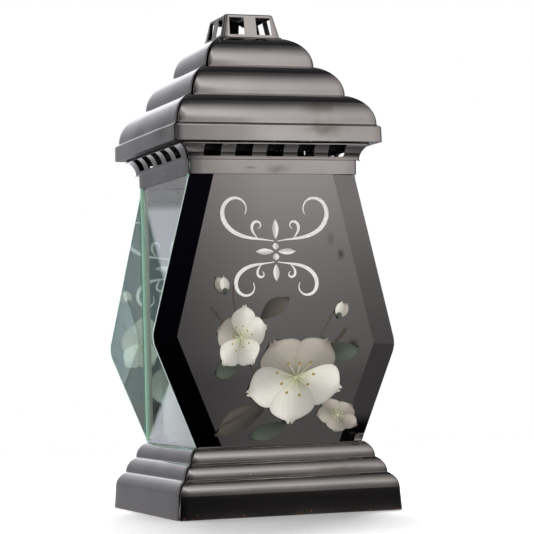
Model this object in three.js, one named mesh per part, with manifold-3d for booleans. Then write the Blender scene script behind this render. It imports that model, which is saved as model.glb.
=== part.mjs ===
// Grave lantern: a stepped sheet-steel plinth, a glass body with two hexagonal bevelled panels, a vented
// top frame, a lift-off roof with three quarter-round tiers and a small chimney, and a candle refill inside.
// Millimetres, +Z up, origin at the centre of the plinth's underside, the printed panel facing -Y.
import * as THREE from "three";
import { mergeVertices } from "three/addons/utils/BufferGeometryUtils.js";
import Module from "manifold-3d";

const wasm = await Module();
wasm.setup();

// Sheet steel and fits
const sheet = 0.6; // thickness of the lacquered steel sheet
const fit = 0.3; // clearance between pieces that lie against each other
const seam = 0.6; // how far each folded side stops short of the corner plane
const roofSeam = 0.9; // the same on the roof, whose corners stand a little open
const cutOver = 2; // overrun of every cutting tool
const glassClearance = 0.4; // play of a glass edge in its sheet channel

// Plinth
const skirtDraft = 0.8; // how far the skirt leans in over its height
const skirtHeight = 15.5;
const hemWidth = 6; // flange turned in under the skirt
const baseRolls = 3;
const baseRollRise = 10.7;
const baseRollRun = 6.3;
const baseFlangeDepth = 4; // inward flange along each corner seam, which carries the floor tray

// Glass
const neckHalf = 61.8; // half width of the top frame's neck, which sets the glass
const glassThickness = 3.3;
const bodyHeight = 186; // glass that shows between the plinth and the neck
const lowFlare = 27.6; // how far a hexagonal panel's lower sharp corner stands out past the side pane
const lowWaist = 66.5; // height of that corner above the plinth
const highFlare = 29.3; // the same on the panel's other side, which is cut a little higher
const highWaist = 74.3;
const panelCornerRadius = 20;
const bevelWidth = 16.6;
const bevelDepth = 1.9;
const sealLeg = 3.2; // leg of the silicone bead in each glass corner
const sealEndGap = 3; // how far a bead stops short of the channels

// Top frame
const neckHeight = 9.9;
const neckFlare = 0.2;
const coveStep = 1.7; // the cove starts this far outside the neck
const coveRadius = 12;
const coveTurn = THREE.MathUtils.degToRad(57);
const throatInset = 3.8; // from the neck in to the edge of the frame's open top
const slots = 5;
const slotBar = 10.5; // width of the metal between two slots
const slotEnd = 5; // from the neck's corner to half a bar before the first slot
const slotLift = 2.2; // slot's lower edge above the neck
const glassTopInset = 1.5; // glass ends this far under the neck's top
const keeperOverlap = 7.5; // how far the keeper reaches down behind the glass

// Tray and refill holder
const ridgeDrop = 0.3; // the tray's rim ends this far under the plinth's top
const ridgeWidth = 2.4;
const holderHalf = 35;
const tongueRise = 12;
const tongueWidth = 9;

// Lid
const fasciaOverhang = 7.2; // how far the fascia stands out over the top frame
const fasciaDraft = 0.1;
const fasciaHeight = 11.6;
const fasciaRound = 1.6; // bend between the fascia and the ledge
const ledgeRise = 0.9; // the ledge climbs a little to the first tier
const ledgeRun = 2.4;
const lipLap = 5.6; // how far the flange turned in under the fascia lies over the frame
const roofRolls = 3;
const roofRollRise = 22.2;
const rimMargin = 0.2; // flat rim that shows round the chimney cap's flange
const smokeHalf = 15; // half width of the smoke opening
const roofFlangeDepth = 6;
const fasciaFlangeDepth = 4;
const collarClearance = 0.4;
const collarDrop = 4.6; // how far the collar reaches down into the throat
const collarFlange = 12;

// Chimney cap
const capFlange = 1.5;
const capBaseHalf = 21.7;
const capTopHalf = 18.2;
const capHeight = 17.5;
const capRound = 1.6; // bend round the cap's head
const windowLift = 2.4; // above the cap's flange
const windowRise = 12.8;
const windowWidth = 10.6;
const windowSpread = 0.7; // a window is this much wider at its foot
const postWidth = 9.1; // between the two windows of a side
const tongueDrop = 5; // length of the tongue folded in at each window's head
const tongueTilt = THREE.MathUtils.degToRad(50);

// Candle refill
const cupRadius = 27;
const cupWall = 0.9;
const cupHeight = 120;
const waxHeadSpace = 24; // from the wax to the cup's rim
const wickRadius = 1.1;
const wickStands = 9; // above the wax
const footRadius = 9;
const footHeight = 0.8;
const capOpening = 17;
const capSkirt = 8;
const capSheet = 0.5;

// Glass clips on the plinth's top
const clipWidth = 5.5;
const clipRise = 4;
const clipInset = 1.5; // from the panel's lower corner

// Fineness
const baseRollSteps = 5;
const roofRollSteps = 8;
const coveSteps = 6;
const bendSteps = 3;
const cornerSteps = 6;
const roundSteps = 40;
const wickSteps = 8;

// Sizes that follow
const glassFace = neckHalf - sheet - glassClearance;
const glassBack = glassFace - glassThickness;
const plinthLipHalf = glassFace + glassClearance;
const skirtTopHalf = plinthLipHalf + baseRolls * baseRollRun;
const baseHalf = skirtTopHalf + skirtDraft;
const plinthTop = skirtHeight + baseRolls * baseRollRise;
const trayFoot = plinthTop - baseRollRise;
const trayTop = trayFoot + fit + sheet;
const glassBottom = trayTop + fit;
const neckBottom = plinthTop + bodyHeight;
const neckTop = neckBottom + neckHeight;
const throatHalf = neckHalf - throatInset;
const slotPitch = (2 * (neckHalf - slotEnd)) / slots;
const slotWidth = slotPitch - slotBar;
const coveHalf = neckHalf + coveStep;
const coveTopHalf = coveHalf + coveRadius * (1 - Math.cos(coveTurn));
const coveTop = neckTop + coveRadius * Math.sin(coveTurn);
const frameTop = coveTop + 2 * sheet;
const glassTop = neckTop - glassTopInset;
const lidBottom = frameTop + fit;
const fasciaHalf = coveTopHalf + fasciaOverhang;
const fasciaTop = lidBottom + fasciaHeight;
const roofFoot = fasciaTop + ledgeRise;
const roofHalf = fasciaHalf - fasciaDraft - ledgeRun;
const roofTop = roofFoot + roofRolls * roofRollRise;
const roofTopHalf = capBaseHalf + capFlange + rimMargin;
const roofRollRun = (roofHalf - roofTopHalf) / roofRolls;
const collarHalf = throatHalf - collarClearance;
const channelHalf = glassBack - glassClearance;
const ridgeTop = plinthTop - ridgeDrop;

// Colours and finishes
const finish = {
  lacquer: { color: 0x6b6663, roughness: 0.32, metalness: 0.85 },
  tinplate: { color: 0x8d8c8a, roughness: 0.42, metalness: 0.9 },
  print: { color: 0x1d1c20, roughness: 0.08, metalness: 0 },
  mirror: { color: 0x9fb0b0, roughness: 0.04, metalness: 1 },
  clear: { color: 0xcfe3da, roughness: 0.03, metalness: 0, transparent: true, opacity: 0.35 },
  silicone: { color: 0xd8dcd2, roughness: 0.4, metalness: 0 },
  cup: { color: 0xe9e4d8, roughness: 0.35, metalness: 0 },
  wax: { color: 0xf1ead6, roughness: 0.55, metalness: 0 },
  wick: { color: 0xd9d2c0, roughness: 0.9, metalness: 0 },
  foil: { color: 0xc9b178, roughness: 0.3, metalness: 1 },
};

const lantern = new THREE.Group();

function addPiece(name, geometry, look, turn = 0) {
  const mesh = new THREE.Mesh(geometry, new THREE.MeshStandardMaterial(finish[look]));
  mesh.name = name;
  mesh.rotation.z = turn;
  lantern.add(mesh);
  return mesh;
}

// A geometry as a manifold solid, its shared corners merged.
function solidOf(geometry) {
  const bare = geometry.index ? geometry.toNonIndexed() : geometry.clone();
  bare.deleteAttribute("normal");
  bare.deleteAttribute("uv");
  const merged = mergeVertices(bare);
  return new wasm.Manifold(
    new wasm.Mesh({
      numProp: 3,
      vertProperties: new Float32Array(merged.attributes.position.array),
      triVerts: new Uint32Array(merged.index.array),
    }),
  );
}

function geometryOf(solid) {
  const mesh = solid.getMesh();
  const geometry = new THREE.BufferGeometry();
  geometry.setAttribute("position", new THREE.BufferAttribute(mesh.vertProperties, 3));
  geometry.setIndex(new THREE.BufferAttribute(mesh.triVerts, 1));
  return geometry;
}

function unite(...geometries) {
  return geometryOf(geometries.map(solidOf).reduce((whole, next) => whole.add(next)));
}

function cut(geometry, tools) {
  return geometryOf(tools.map(solidOf).reduce((whole, tool) => whole.subtract(tool), solidOf(geometry)));
}

// A box given by its lowest and highest corner.
function boxBetween(low, high) {
  const size = high.map((value, axis) => value - low[axis]);
  const middle = high.map((value, axis) => (value + low[axis]) / 2);
  return new THREE.BoxGeometry(...size).translate(...middle);
}

function shapeOf(points) {
  return new THREE.Shape(points.map(([across, up]) => new THREE.Vector2(across, up)));
}

// Points along an arc from one angle to another, both ends included.
function arcPoints(centre, radius, from, to, steps) {
  return Array.from({ length: steps + 1 }, (_, step) => {
    const angle = from + ((to - from) * step) / steps;
    return [centre[0] + radius * Math.cos(angle), centre[1] + radius * Math.sin(angle)];
  });
}

// One quarter-round tier: it rises straight from its foot and bends in by run over rise.
function rollPoints(half, foot, run, rise, steps) {
  const radius = (run * run + rise * rise) / (2 * run);
  return arcPoints([half - radius, foot], radius, 0, Math.asin(rise / radius), steps);
}

function rollStack(half, foot, run, rise, count, steps) {
  return Array.from({ length: count }, (_, tier) =>
    rollPoints(half - tier * run, foot + tier * rise, run, rise, steps).slice(tier ? 1 : 0),
  ).flat();
}

// A path of (half width, height) points turned into a closed sheet section, its wall on the path's left.
function sheetSection(path, wall) {
  const normals = path.slice(1).map(([p, z], i) => {
    const along = new THREE.Vector2(p - path[i][0], z - path[i][1]).normalize();
    return new THREE.Vector2(-along.y, along.x);
  });
  const inner = path.map(([p, z], i) => {
    const before = normals[Math.max(i - 1, 0)];
    const after = normals[Math.min(i, normals.length - 1)];
    const mitre = before.clone().add(after).normalize();
    const reach = wall / mitre.dot(after);
    return [p + mitre.x * reach, z + mitre.y * reach];
  });
  return [...path, ...inner.reverse()];
}

// A section of (half width, height) drawn out along the +Y side of a square. The function placeAcross says
// where its two ends lie, from each point's half width and its share of the length.
function barAlongSide(section, placeAcross) {
  const bar = new THREE.ExtrudeGeometry(shapeOf(section), { depth: 1, bevelEnabled: false });
  const at = bar.attributes.position;
  for (let i = 0; i < at.count; i++) {
    const half = at.getX(i);
    at.setXYZ(i, placeAcross(half, at.getZ(i)), half, at.getY(i));
  }
  return bar;
}

// A folded side of a square: its sheet, mitred at both corners, and an inward flange along each corner seam.
function foldedSide(path, flange, gap = seam) {
  const thickness = sheet * Math.SQRT2;
  const folded = barAlongSide(sheetSection(path, sheet), (half, share) => (2 * share - 1) * (half - gap));
  const plates = [-1, 1].map((side) =>
    barAlongSide(
      flange,
      (half, share) => side * (half - gap - thickness / 2) + (share - 1 / 2) * thickness,
    ),
  );
  return unite(folded, ...plates);
}

// A section of (half width, height) turned about the upright axis, in four flat sides or in many round ones.
function turned(section, sides) {
  const square = sides === 4;
  const points = section.map(([half, up]) => new THREE.Vector2(half * (square ? Math.SQRT2 : 1), up));
  return new THREE.LatheGeometry(points, sides, square ? Math.PI / 4 : 0).rotateX(Math.PI / 2);
}

function closed(section) {
  return [...section, section[0]];
}

const quarterTurns = { front: Math.PI, right: -Math.PI / 2, back: 0, left: Math.PI / 2 };

// A side of the plinth, folded from one sheet: hem, skirt, three rolls and the lip that holds the glass.
function plinthSide() {
  const rolls = (count) =>
    rollStack(skirtTopHalf, skirtHeight, baseRollRun, baseRollRise, count, baseRollSteps);
  const path = [
    [baseHalf - hemWidth, 0],
    [baseHalf, 0],
    ...rolls(baseRolls),
    [plinthLipHalf, glassBottom],
  ];
  const flange = [
    [baseHalf - sheet / 2, sheet / 2],
    ...rolls(baseRolls - 1).map(([half, up]) => [half - sheet / 2, up]),
    [plinthLipHalf + baseRollRun - baseFlangeDepth, trayFoot],
    [skirtTopHalf - baseFlangeDepth, skirtHeight],
    [baseHalf - baseFlangeDepth, sheet / 2],
  ];
  return foldedSide(path, flange);
}

// The pressed floor: a flat tray with a hollow rim that holds the glass against the plinth's lip.
function floorTray() {
  const floorBottom = trayTop - sheet;
  const trayHalf = plinthLipHalf + baseRollRun - sheet - fit;
  const section = [
    [0, floorBottom],
    [channelHalf - ridgeWidth + sheet, floorBottom],
    [channelHalf - ridgeWidth + sheet, ridgeTop - sheet],
    [channelHalf - sheet, ridgeTop - sheet],
    [channelHalf - sheet, floorBottom],
    [trayHalf, floorBottom],
    [trayHalf, trayTop],
    [channelHalf, trayTop],
    [channelHalf, ridgeTop],
    [channelHalf - ridgeWidth, ridgeTop],
    [channelHalf - ridgeWidth, trayTop],
    [0, trayTop],
  ];
  return turned(section, 4);
}

// A plate on the floor with four tongues bent up around the refill.
function refillHolder() {
  const plateTop = trayTop + fit + sheet;
  const plate = boxBetween(
    [-holderHalf, -holderHalf, plateTop - sheet],
    [holderHalf, holderHalf, plateTop],
  );
  const reach = cupRadius + fit;
  const tongues = [0, 1, 2, 3].map((quarter) =>
    boxBetween(
      [-tongueWidth / 2, reach, plateTop - sheet / 2],
      [tongueWidth / 2, reach + sheet, plateTop + tongueRise],
    ).rotateZ((quarter * Math.PI) / 2),
  );
  return unite(plate, ...tongues);
}

// One side of a hexagonal panel: the leans of its two slanting edges, and its foot, sharp corner and head.
function panelSide(flare, waist) {
  const lowerLean = Math.atan2(flare, waist);
  const upperLean = Math.atan2(flare, bodyHeight - waist);
  return {
    lowerLean,
    upperLean,
    foot: [glassFace - (plinthTop - glassBottom) * Math.tan(lowerLean), glassBottom],
    corner: [glassFace + flare, plinthTop + waist],
    head: [glassFace - (glassTop - neckBottom) * Math.tan(upperLean), glassTop],
  };
}

const lowSide = panelSide(lowFlare, lowWaist);
const highSide = panelSide(highFlare, highWaist);
const mirrored = ([across, up]) => [-across, up];

// A side's outline from its foot to its head, (across, height), with the corner rounded.
function sideOutline({ lowerLean, upperLean, foot, corner, head }) {
  const tilt = (upperLean - lowerLean) / 2;
  const inset = panelCornerRadius / Math.cos((upperLean + lowerLean) / 2);
  const centre = [corner[0] - inset * Math.cos(tilt), corner[1] - inset * Math.sin(tilt)];
  return [foot, ...arcPoints(centre, panelCornerRadius, -lowerLean, upperLean, cornerSteps), head];
}

// A wedge that grinds the bevel along one straight edge; the glass lies to the left of the edge.
function bevelWedge(from, to) {
  const along = new THREE.Vector3(to[0] - from[0], 0, to[1] - from[1]);
  const length = along.length();
  along.normalize();
  const inward = new THREE.Vector3(-along.z, 0, along.x);
  const outward = new THREE.Vector3(0, -1, 0);
  const wedge = shapeOf([
    [bevelWidth, 0],
    [bevelWidth, cutOver],
    [-bevelWidth, cutOver],
    [-bevelWidth, -2 * bevelDepth],
  ]);
  const tool = new THREE.ExtrudeGeometry(wedge, { depth: 2 * length, bevelEnabled: false });
  tool.translate(0, 0, -length / 2);
  const frame = new THREE.Matrix4().makeBasis(inward, outward, along);
  frame.setPosition(from[0], -glassFace, from[1]);
  return tool.applyMatrix4(frame);
}

// One hexagonal plate of glass, bevelled along its four slanting edges, facing -Y.
function hexagonalPanel() {
  const outline = [...sideOutline(lowSide), ...sideOutline(highSide).map(mirrored).reverse()];
  const plate = new THREE.ExtrudeGeometry(shapeOf(outline), { depth: glassThickness, bevelEnabled: false });
  plate.rotateX(Math.PI / 2).translate(0, -glassBack, 0);
  const edges = [
    [lowSide.foot, lowSide.corner],
    [lowSide.corner, lowSide.head],
    [mirrored(highSide.head), mirrored(highSide.corner)],
    [mirrored(highSide.corner), mirrored(highSide.foot)],
  ];
  return cut(plate, edges.map(([from, to]) => bevelWedge(from, to)));
}

// A plain pane between the two hexagonal panels, facing +X.
function sidePane() {
  const length = glassBack - fit;
  return boxBetween([glassBack, -length, glassBottom], [glassFace, length, glassTop]);
}

// A silicone bead in one inner corner of the glass.
function cornerSeal() {
  const edge = glassBack - fit;
  const bead = shapeOf([
    [edge, edge],
    [edge - sealLeg, edge],
    [edge - sealLeg / 3, edge - sealLeg / 3],
    [edge, edge - sealLeg],
  ]);
  const foot = ridgeTop + sealEndGap;
  const head = glassTop - keeperOverlap - sealEndGap;
  return new THREE.ExtrudeGeometry(bead, { depth: head - foot, bevelEnabled: false }).translate(0, 0, foot);
}

// A small tab that stands on the plinth's lip beside a panel's lower corner and curls away from the glass.
function glassClip() {
  const face = glassFace + fit + sheet;
  const foot = plinthTop + fit;
  const curl = arcPoints([face + clipRise, foot], clipRise, Math.PI, Math.PI / 2, cornerSteps);
  const strip = new THREE.ExtrudeGeometry(shapeOf(sheetSection(curl, sheet)), {
    depth: clipWidth,
    bevelEnabled: false,
  });
  strip.rotateX(Math.PI / 2).rotateZ(Math.PI / 2);
  return strip.translate(clipInset - glassFace, 0, 0);
}

// A side of the top frame: neck, step, cove with five slots, and the flange that the lid rests on.
function frameSide() {
  const coveCentre = [coveHalf + coveRadius, neckTop];
  const cove = arcPoints(coveCentre, coveRadius, Math.PI, Math.PI - coveTurn, coveSteps);
  const path = [
    [neckHalf - neckFlare, neckBottom],
    [neckHalf, neckTop],
    ...cove,
    [coveTopHalf, frameTop],
    [throatHalf, frameTop],
  ];
  const flange = [
    [coveHalf - sheet, neckTop + sheet],
    ...cove.slice(1, -1).map(([half, up]) => [half - sheet / 2, up]),
    [coveTopHalf - sheet, coveTop],
    [throatHalf + sheet, coveTop],
    [throatHalf + sheet + coveStep, neckTop + 2 * sheet],
  ];
  const tools = Array.from({ length: slots }, (_, slot) => {
    const middle = (slot - (slots - 1) / 2) * slotPitch;
    return boxBetween(
      [middle - slotWidth / 2, neckHalf - cutOver, neckTop + slotLift],
      [middle + slotWidth / 2, coveTopHalf + cutOver, coveTop],
    );
  });
  return cut(foldedSide(path, flange), tools);
}

// The angle ring behind the glass's upper edges.
function glassKeeper() {
  const seat = glassTop + fit;
  const reach = neckHalf - neckFlare - sheet - fit;
  const section = [
    [channelHalf - sheet, glassTop - keeperOverlap],
    [channelHalf, glassTop - keeperOverlap],
    [channelHalf, seat],
    [reach, seat],
    [reach, seat + sheet],
    [channelHalf - sheet, seat + sheet],
  ];
  return turned(closed(section), 4);
}

// A side of the roof: lip, fascia, ledge, three quarter-round tiers and the flat rim of the smoke opening.
function roofSide() {
  const tiers = rollStack(roofHalf, roofFoot, roofRollRun, roofRollRise, roofRolls, roofRollSteps);
  const shoulder = fasciaHalf - fasciaDraft;
  const bend = arcPoints(
    [shoulder - fasciaRound, fasciaTop - fasciaRound],
    fasciaRound,
    0,
    Math.PI / 2,
    bendSteps,
  );
  const path = [
    [coveTopHalf - lipLap, lidBottom],
    [fasciaHalf, lidBottom],
    ...bend,
    ...tiers,
    [smokeHalf, roofTop],
  ];
  const climb = new THREE.Vector2(-roofRollRun, roofRollRise).normalize();
  const inward = [-climb.y * roofFlangeDepth, climb.x * roofFlangeDepth];
  const flange = [
    [fasciaHalf - sheet / 2, lidBottom + sheet / 2],
    [shoulder - sheet / 2, fasciaTop - fasciaRound],
    [shoulder - fasciaRound, fasciaTop - sheet / 2],
    ...tiers.map(([half, up]) => [half - sheet / 2, up - sheet / 2]),
    [roofTopHalf + inward[0], roofTop - sheet + inward[1]],
    [roofHalf + inward[0], roofFoot + inward[1]],
    [fasciaHalf - fasciaFlangeDepth, fasciaTop + inward[1]],
    [fasciaHalf - fasciaFlangeDepth, lidBottom + sheet / 2],
  ];
  return foldedSide(path, flange, roofSeam);
}

// The ring under the roof that drops into the frame's throat and keeps the lid in place.
function lidCollar() {
  const seat = lidBottom + sheet + fit;
  const section = [
    [collarHalf - sheet, seat + sheet],
    [collarHalf - sheet, frameTop - collarDrop],
    [collarHalf, frameTop - collarDrop],
    [collarHalf, seat],
    [collarHalf + collarFlange, seat],
    [collarHalf + collarFlange, seat + sheet],
  ];
  return turned(closed(section), 4);
}

// The pressed chimney cap: flange, leaning walls with two windows each, and tongues folded in at the heads.
function chimneyCap() {
  const seat = roofTop + fit;
  const head = seat + capHeight;
  const bendCentre = [capTopHalf - capRound, head - capRound];
  const wall = turned(
    [
      [0, head - sheet],
      ...arcPoints(bendCentre, capRound - sheet, Math.PI / 2, 0, bendSteps),
      [capBaseHalf - sheet, seat],
      [capBaseHalf + capFlange, seat],
      [capBaseHalf + capFlange, seat + sheet],
      [capBaseHalf, seat + sheet],
      ...arcPoints(bendCentre, capRound, 0, Math.PI / 2, bendSteps),
      [0, head],
    ],
    4,
  );
  const sill = seat + windowLift;
  const windowAt = (side) => {
    const near = (side * postWidth) / 2;
    const far = near + side * windowWidth;
    const opening = shapeOf([
      [near, sill],
      [far + side * windowSpread, sill],
      [far, sill + windowRise],
      [near, sill + windowRise],
    ]);
    const depth = 2 * (capBaseHalf + cutOver);
    const tool = new THREE.ExtrudeGeometry(opening, { depth, bevelEnabled: false });
    return tool.rotateX(Math.PI / 2).translate(0, depth / 2, 0);
  };
  const tools = [-1, 1].flatMap((side) => [windowAt(side), windowAt(side).rotateZ(Math.PI / 2)]);
  const lean = (capBaseHalf - capTopHalf) / (capHeight - capRound - sheet);
  const tongueRoot = capTopHalf + lean * (head - capRound - sill - windowRise - sheet);
  const tongues = [0, 1, 2, 3].flatMap((quarter) =>
    [-1, 1].map((side) => {
      const tongue = boxBetween(
        [-windowWidth / 2 + sheet, -tongueDrop, -sheet],
        [windowWidth / 2 - sheet, 0, 0],
      );
      tongue.rotateX(tongueTilt);
      tongue.translate(
        (side * (postWidth + windowWidth)) / 2,
        tongueRoot - sheet / 2,
        sill + windowRise + sheet,
      );
      return tongue.rotateZ((quarter * Math.PI) / 2);
    }),
  );
  return unite(cut(wall, tools), ...tongues);
}

// The refill: a thin plastic cup, its wax, the wick with its foot, and a foil cap with a wide opening.
const holderTop = trayTop + fit + sheet;
const cupFoot = holderTop + fit;
const cupRim = cupFoot + cupHeight;
const waxFoot = cupFoot + cupWall + fit + footHeight + fit;
const waxTop = cupRim - waxHeadSpace;

function refillCup() {
  const section = [
    [0, cupFoot],
    [cupRadius, cupFoot],
    [cupRadius, cupRim],
    [cupRadius - cupWall, cupRim],
    [cupRadius - cupWall, cupFoot + cupWall],
    [0, cupFoot + cupWall],
  ];
  return turned(section, roundSteps);
}

function waxFill() {
  const bore = wickRadius + fit;
  const reach = cupRadius - cupWall - fit;
  const section = [
    [bore, waxFoot],
    [reach, waxFoot],
    [reach, waxTop],
    [bore, waxTop],
  ];
  return turned(closed(section), roundSteps);
}

function wickFoot() {
  const seat = cupFoot + cupWall + fit;
  const top = seat + footHeight;
  return turned([[0, seat], [footRadius, seat], [footRadius, top], [0, top]], roundSteps);
}

function wick() {
  const tip = waxTop + wickStands;
  return turned([[0, waxFoot], [wickRadius, waxFoot], [wickRadius, tip], [0, tip]], wickSteps);
}

function foilCap() {
  const inside = cupRadius + fit;
  const section = [
    [inside, cupRim - capSkirt],
    [inside + capSheet, cupRim - capSkirt],
    [inside + capSheet, cupRim + fit + capSheet],
    [capOpening, cupRim + fit + capSheet],
    [capOpening, cupRim + fit],
    [inside, cupRim + fit],
  ];
  return turned(closed(section), roundSteps);
}

for (const [side, turn] of Object.entries(quarterTurns)) {
  addPiece(`plinth_${side}`, plinthSide(), "lacquer", turn);
  addPiece(`frame_${side}`, frameSide(), "lacquer", turn);
  addPiece(`roof_${side}`, roofSide(), "lacquer", turn);
}
addPiece("floor_tray", floorTray(), "tinplate");
addPiece("refill_holder", refillHolder(), "tinplate");
addPiece("glass_keeper", glassKeeper(), "tinplate");
addPiece("lid_collar", lidCollar(), "tinplate");
addPiece("chimney_cap", chimneyCap(), "lacquer");

addPiece("front_panel", hexagonalPanel(), "print");
addPiece("rear_panel", hexagonalPanel(), "mirror", Math.PI);
addPiece("right_pane", sidePane(), "clear");
addPiece("left_pane", sidePane(), "clear", Math.PI);
["rear_right", "rear_left", "front_left", "front_right"].forEach((corner, quarter) => {
  addPiece(`corner_seal_${corner}`, cornerSeal(), "silicone", (quarter * Math.PI) / 2);
});
addPiece("glass_clip_front", glassClip(), "lacquer", Math.PI);
addPiece("glass_clip_rear", glassClip(), "lacquer");

addPiece("refill_cup", refillCup(), "cup");
addPiece("refill_wax", waxFill(), "wax");
addPiece("wick_foot", wickFoot(), "foil");
addPiece("wick", wick(), "wick");
addPiece("refill_cap", foilCap(), "foil");

export default lantern;
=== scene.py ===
# Grave lantern, dressed for its portrait: folded steel plinth, bevelled glass, vented frame, tiered lid and
# candle refill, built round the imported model. Sizes are in millimetres until a mesh is made.
import math

import bmesh
import bpy
import numpy as np
from mathutils import Matrix, Vector


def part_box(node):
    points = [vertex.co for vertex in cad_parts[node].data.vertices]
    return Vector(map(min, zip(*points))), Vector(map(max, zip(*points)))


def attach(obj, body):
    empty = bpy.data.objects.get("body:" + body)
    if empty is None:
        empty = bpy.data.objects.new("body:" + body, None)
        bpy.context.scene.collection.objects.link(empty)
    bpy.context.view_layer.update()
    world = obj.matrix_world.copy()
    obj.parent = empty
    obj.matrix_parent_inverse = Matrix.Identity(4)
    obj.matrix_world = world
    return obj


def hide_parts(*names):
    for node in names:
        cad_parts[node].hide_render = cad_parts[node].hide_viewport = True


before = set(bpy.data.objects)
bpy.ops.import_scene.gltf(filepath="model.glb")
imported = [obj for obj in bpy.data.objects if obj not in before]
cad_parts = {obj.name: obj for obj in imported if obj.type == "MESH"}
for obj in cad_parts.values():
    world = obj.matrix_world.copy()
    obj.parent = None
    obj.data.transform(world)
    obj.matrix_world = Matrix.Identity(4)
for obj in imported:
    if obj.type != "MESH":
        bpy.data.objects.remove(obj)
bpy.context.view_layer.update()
scene = bpy.context.scene
scene.view_settings.view_transform = "Standard"

# Camera
# It stands low and a little to the left of the printed front, as the photographer did, and looks
# slightly up.
mm = 0.001
camera_place = (-0.48037, -1.39053, 0.10534)
camera_heading = math.radians(19.604)
camera_pitch = math.radians(2.597)
camera_roll = math.radians(-1.534)
focal_length = 138.39
film_width = 36

camera_data = bpy.data.cameras.new("camera")
camera_data.sensor_width = film_width
camera_data.lens = focal_length
camera = bpy.data.objects.new("camera", camera_data)
scene.collection.objects.link(camera)
camera.matrix_world = (
    Matrix.Translation(camera_place)
    @ Matrix.Rotation(-camera_heading, 4, "Z")
    @ Matrix.Rotation(math.pi / 2 + camera_pitch, 4, "X")
    @ Matrix.Rotation(camera_roll, 4, "Z")
)
scene.camera = camera

# Plinth
# Four sides of sheet steel, each folded from one piece: hem, skirt, three quarter-round rolls and the lip
# that holds the glass. The steel is plated dark and lacquered, so it mirrors the room in soft grey.
sheet = 0.6
plinth_seam = 0.6
skirt_height = 15.5
skirt_draft = 0.8
hem_width = 6
hem_flange = 1.5
roll_flange = 4
lip_flange = 0.9
base_rolls = 3
glass_clearance = 0.4
roll_steps = 14
fold_reach = 1.3
inner_reach = 0.25
edge_radius = 0.18
dent_depth = 0.05
dent_across = 9.25
dent_up = 7.4
fold_columns = 5
flange_share = 0.8
face_columns = 30
weld_distance = 0.001
bevel_above = 40
rust_line = 12
cloud_grain = 22.222
pit_grain = 2.381
dust_spacing = 3.846
smear_grain = 6.25
smear_core = 0.45
smear_rim = 1.75
cloud_low = 0.3
cloud_high = 0.7
clean_haze = 0.085
smeared_haze = 0.25
dust_core = 0.05
dust_rim = 0.12
dust_rarity = 0.95
rust_at_floor = 0.13
rust_at_line = -0.05
rust_onset = 0.735
rust_full = 0.775
lacquer_grain = 3.333
quarter_turns = {"front": math.pi, "right": -math.pi / 2, "back": 0, "left": math.pi / 2}


def node_box(name):
    """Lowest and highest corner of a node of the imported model, in millimetres."""
    low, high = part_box(name)
    return np.array(low) / mm, np.array(high) / mm


def arc(centre, radius, start, stop, steps):
    """Points on a circle about the centre, from one angle to another in equal steps."""
    angle = np.linspace(start, stop, steps + 1)[:, None]
    return np.array(centre) + radius * np.hstack([np.cos(angle), np.sin(angle)])


def roll_arc(half, foot, run, rise):
    """A quarter-round tier: an arc that leaves its foot straight up and bends in by run over rise."""
    radius = (run * run + rise * rise) / (2 * run)
    return arc((half - radius, foot), radius, 0, math.asin(rise / radius), roll_steps)


def offset_path(path, distance):
    """Each point of a path moved to the left by its distance, along the mitre of its two neighbours."""
    along = np.diff(path, axis=0)
    along /= np.linalg.norm(along, axis=1)[:, None]
    normal = np.stack([-along[:, 1], along[:, 0]], 1)
    before = np.vstack([normal[:1], normal])
    after = np.vstack([normal, normal[-1:]])
    mitre = before + after
    mitre /= np.linalg.norm(mitre, axis=1)[:, None]
    return path + mitre * (distance / np.sum(mitre * after, axis=1))[:, None]


def side_surface(path, edge, inset, reach, columns):
    """One face of a folded side as a grid. Rows follow the path of (half width, height). Columns run from
    the left flange's free edge round the left fold, across the face, and round the right fold again. Each
    fold is a parabola from the face, past the sharp corner, to the flange."""
    half, up = path[:, 0], path[:, 1]
    corner = np.stack([half - inset, half, up], 1)
    flange = np.stack([edge[:, 0] - inset, edge[:, 0], edge[:, 1]], 1)
    depth = np.linalg.norm(flange - corner, axis=1)[:, None]
    on_face = corner - np.array([1, 0, 0]) * reach
    on_flange = corner + (flange - corner) * np.minimum(reach / depth, flange_share)
    share = np.linspace(0, 1, fold_columns)[None, :, None]
    fold = (
        (1 - share) ** 2 * on_face[:, None]
        + 2 * share * (1 - share) * corner[:, None]
        + share**2 * on_flange[:, None]
    )
    across = columns(on_face[:, 0])
    face = np.stack([across, *(np.broadcast_to(v[:, None], across.shape) for v in (half, up))], 2)
    right = np.concatenate([fold, flange[:, None]], 1)
    left = right[:, ::-1] * np.array([-1, 1, 1])
    return np.concatenate([left, face[:, 1:-1], right], 1)


def even_columns(count):
    """Columns in equal steps across the face, as wide as each row is."""
    shares = np.linspace(-1, 1, count)
    return lambda reach: reach[:, None] * shares[None, :]


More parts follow.
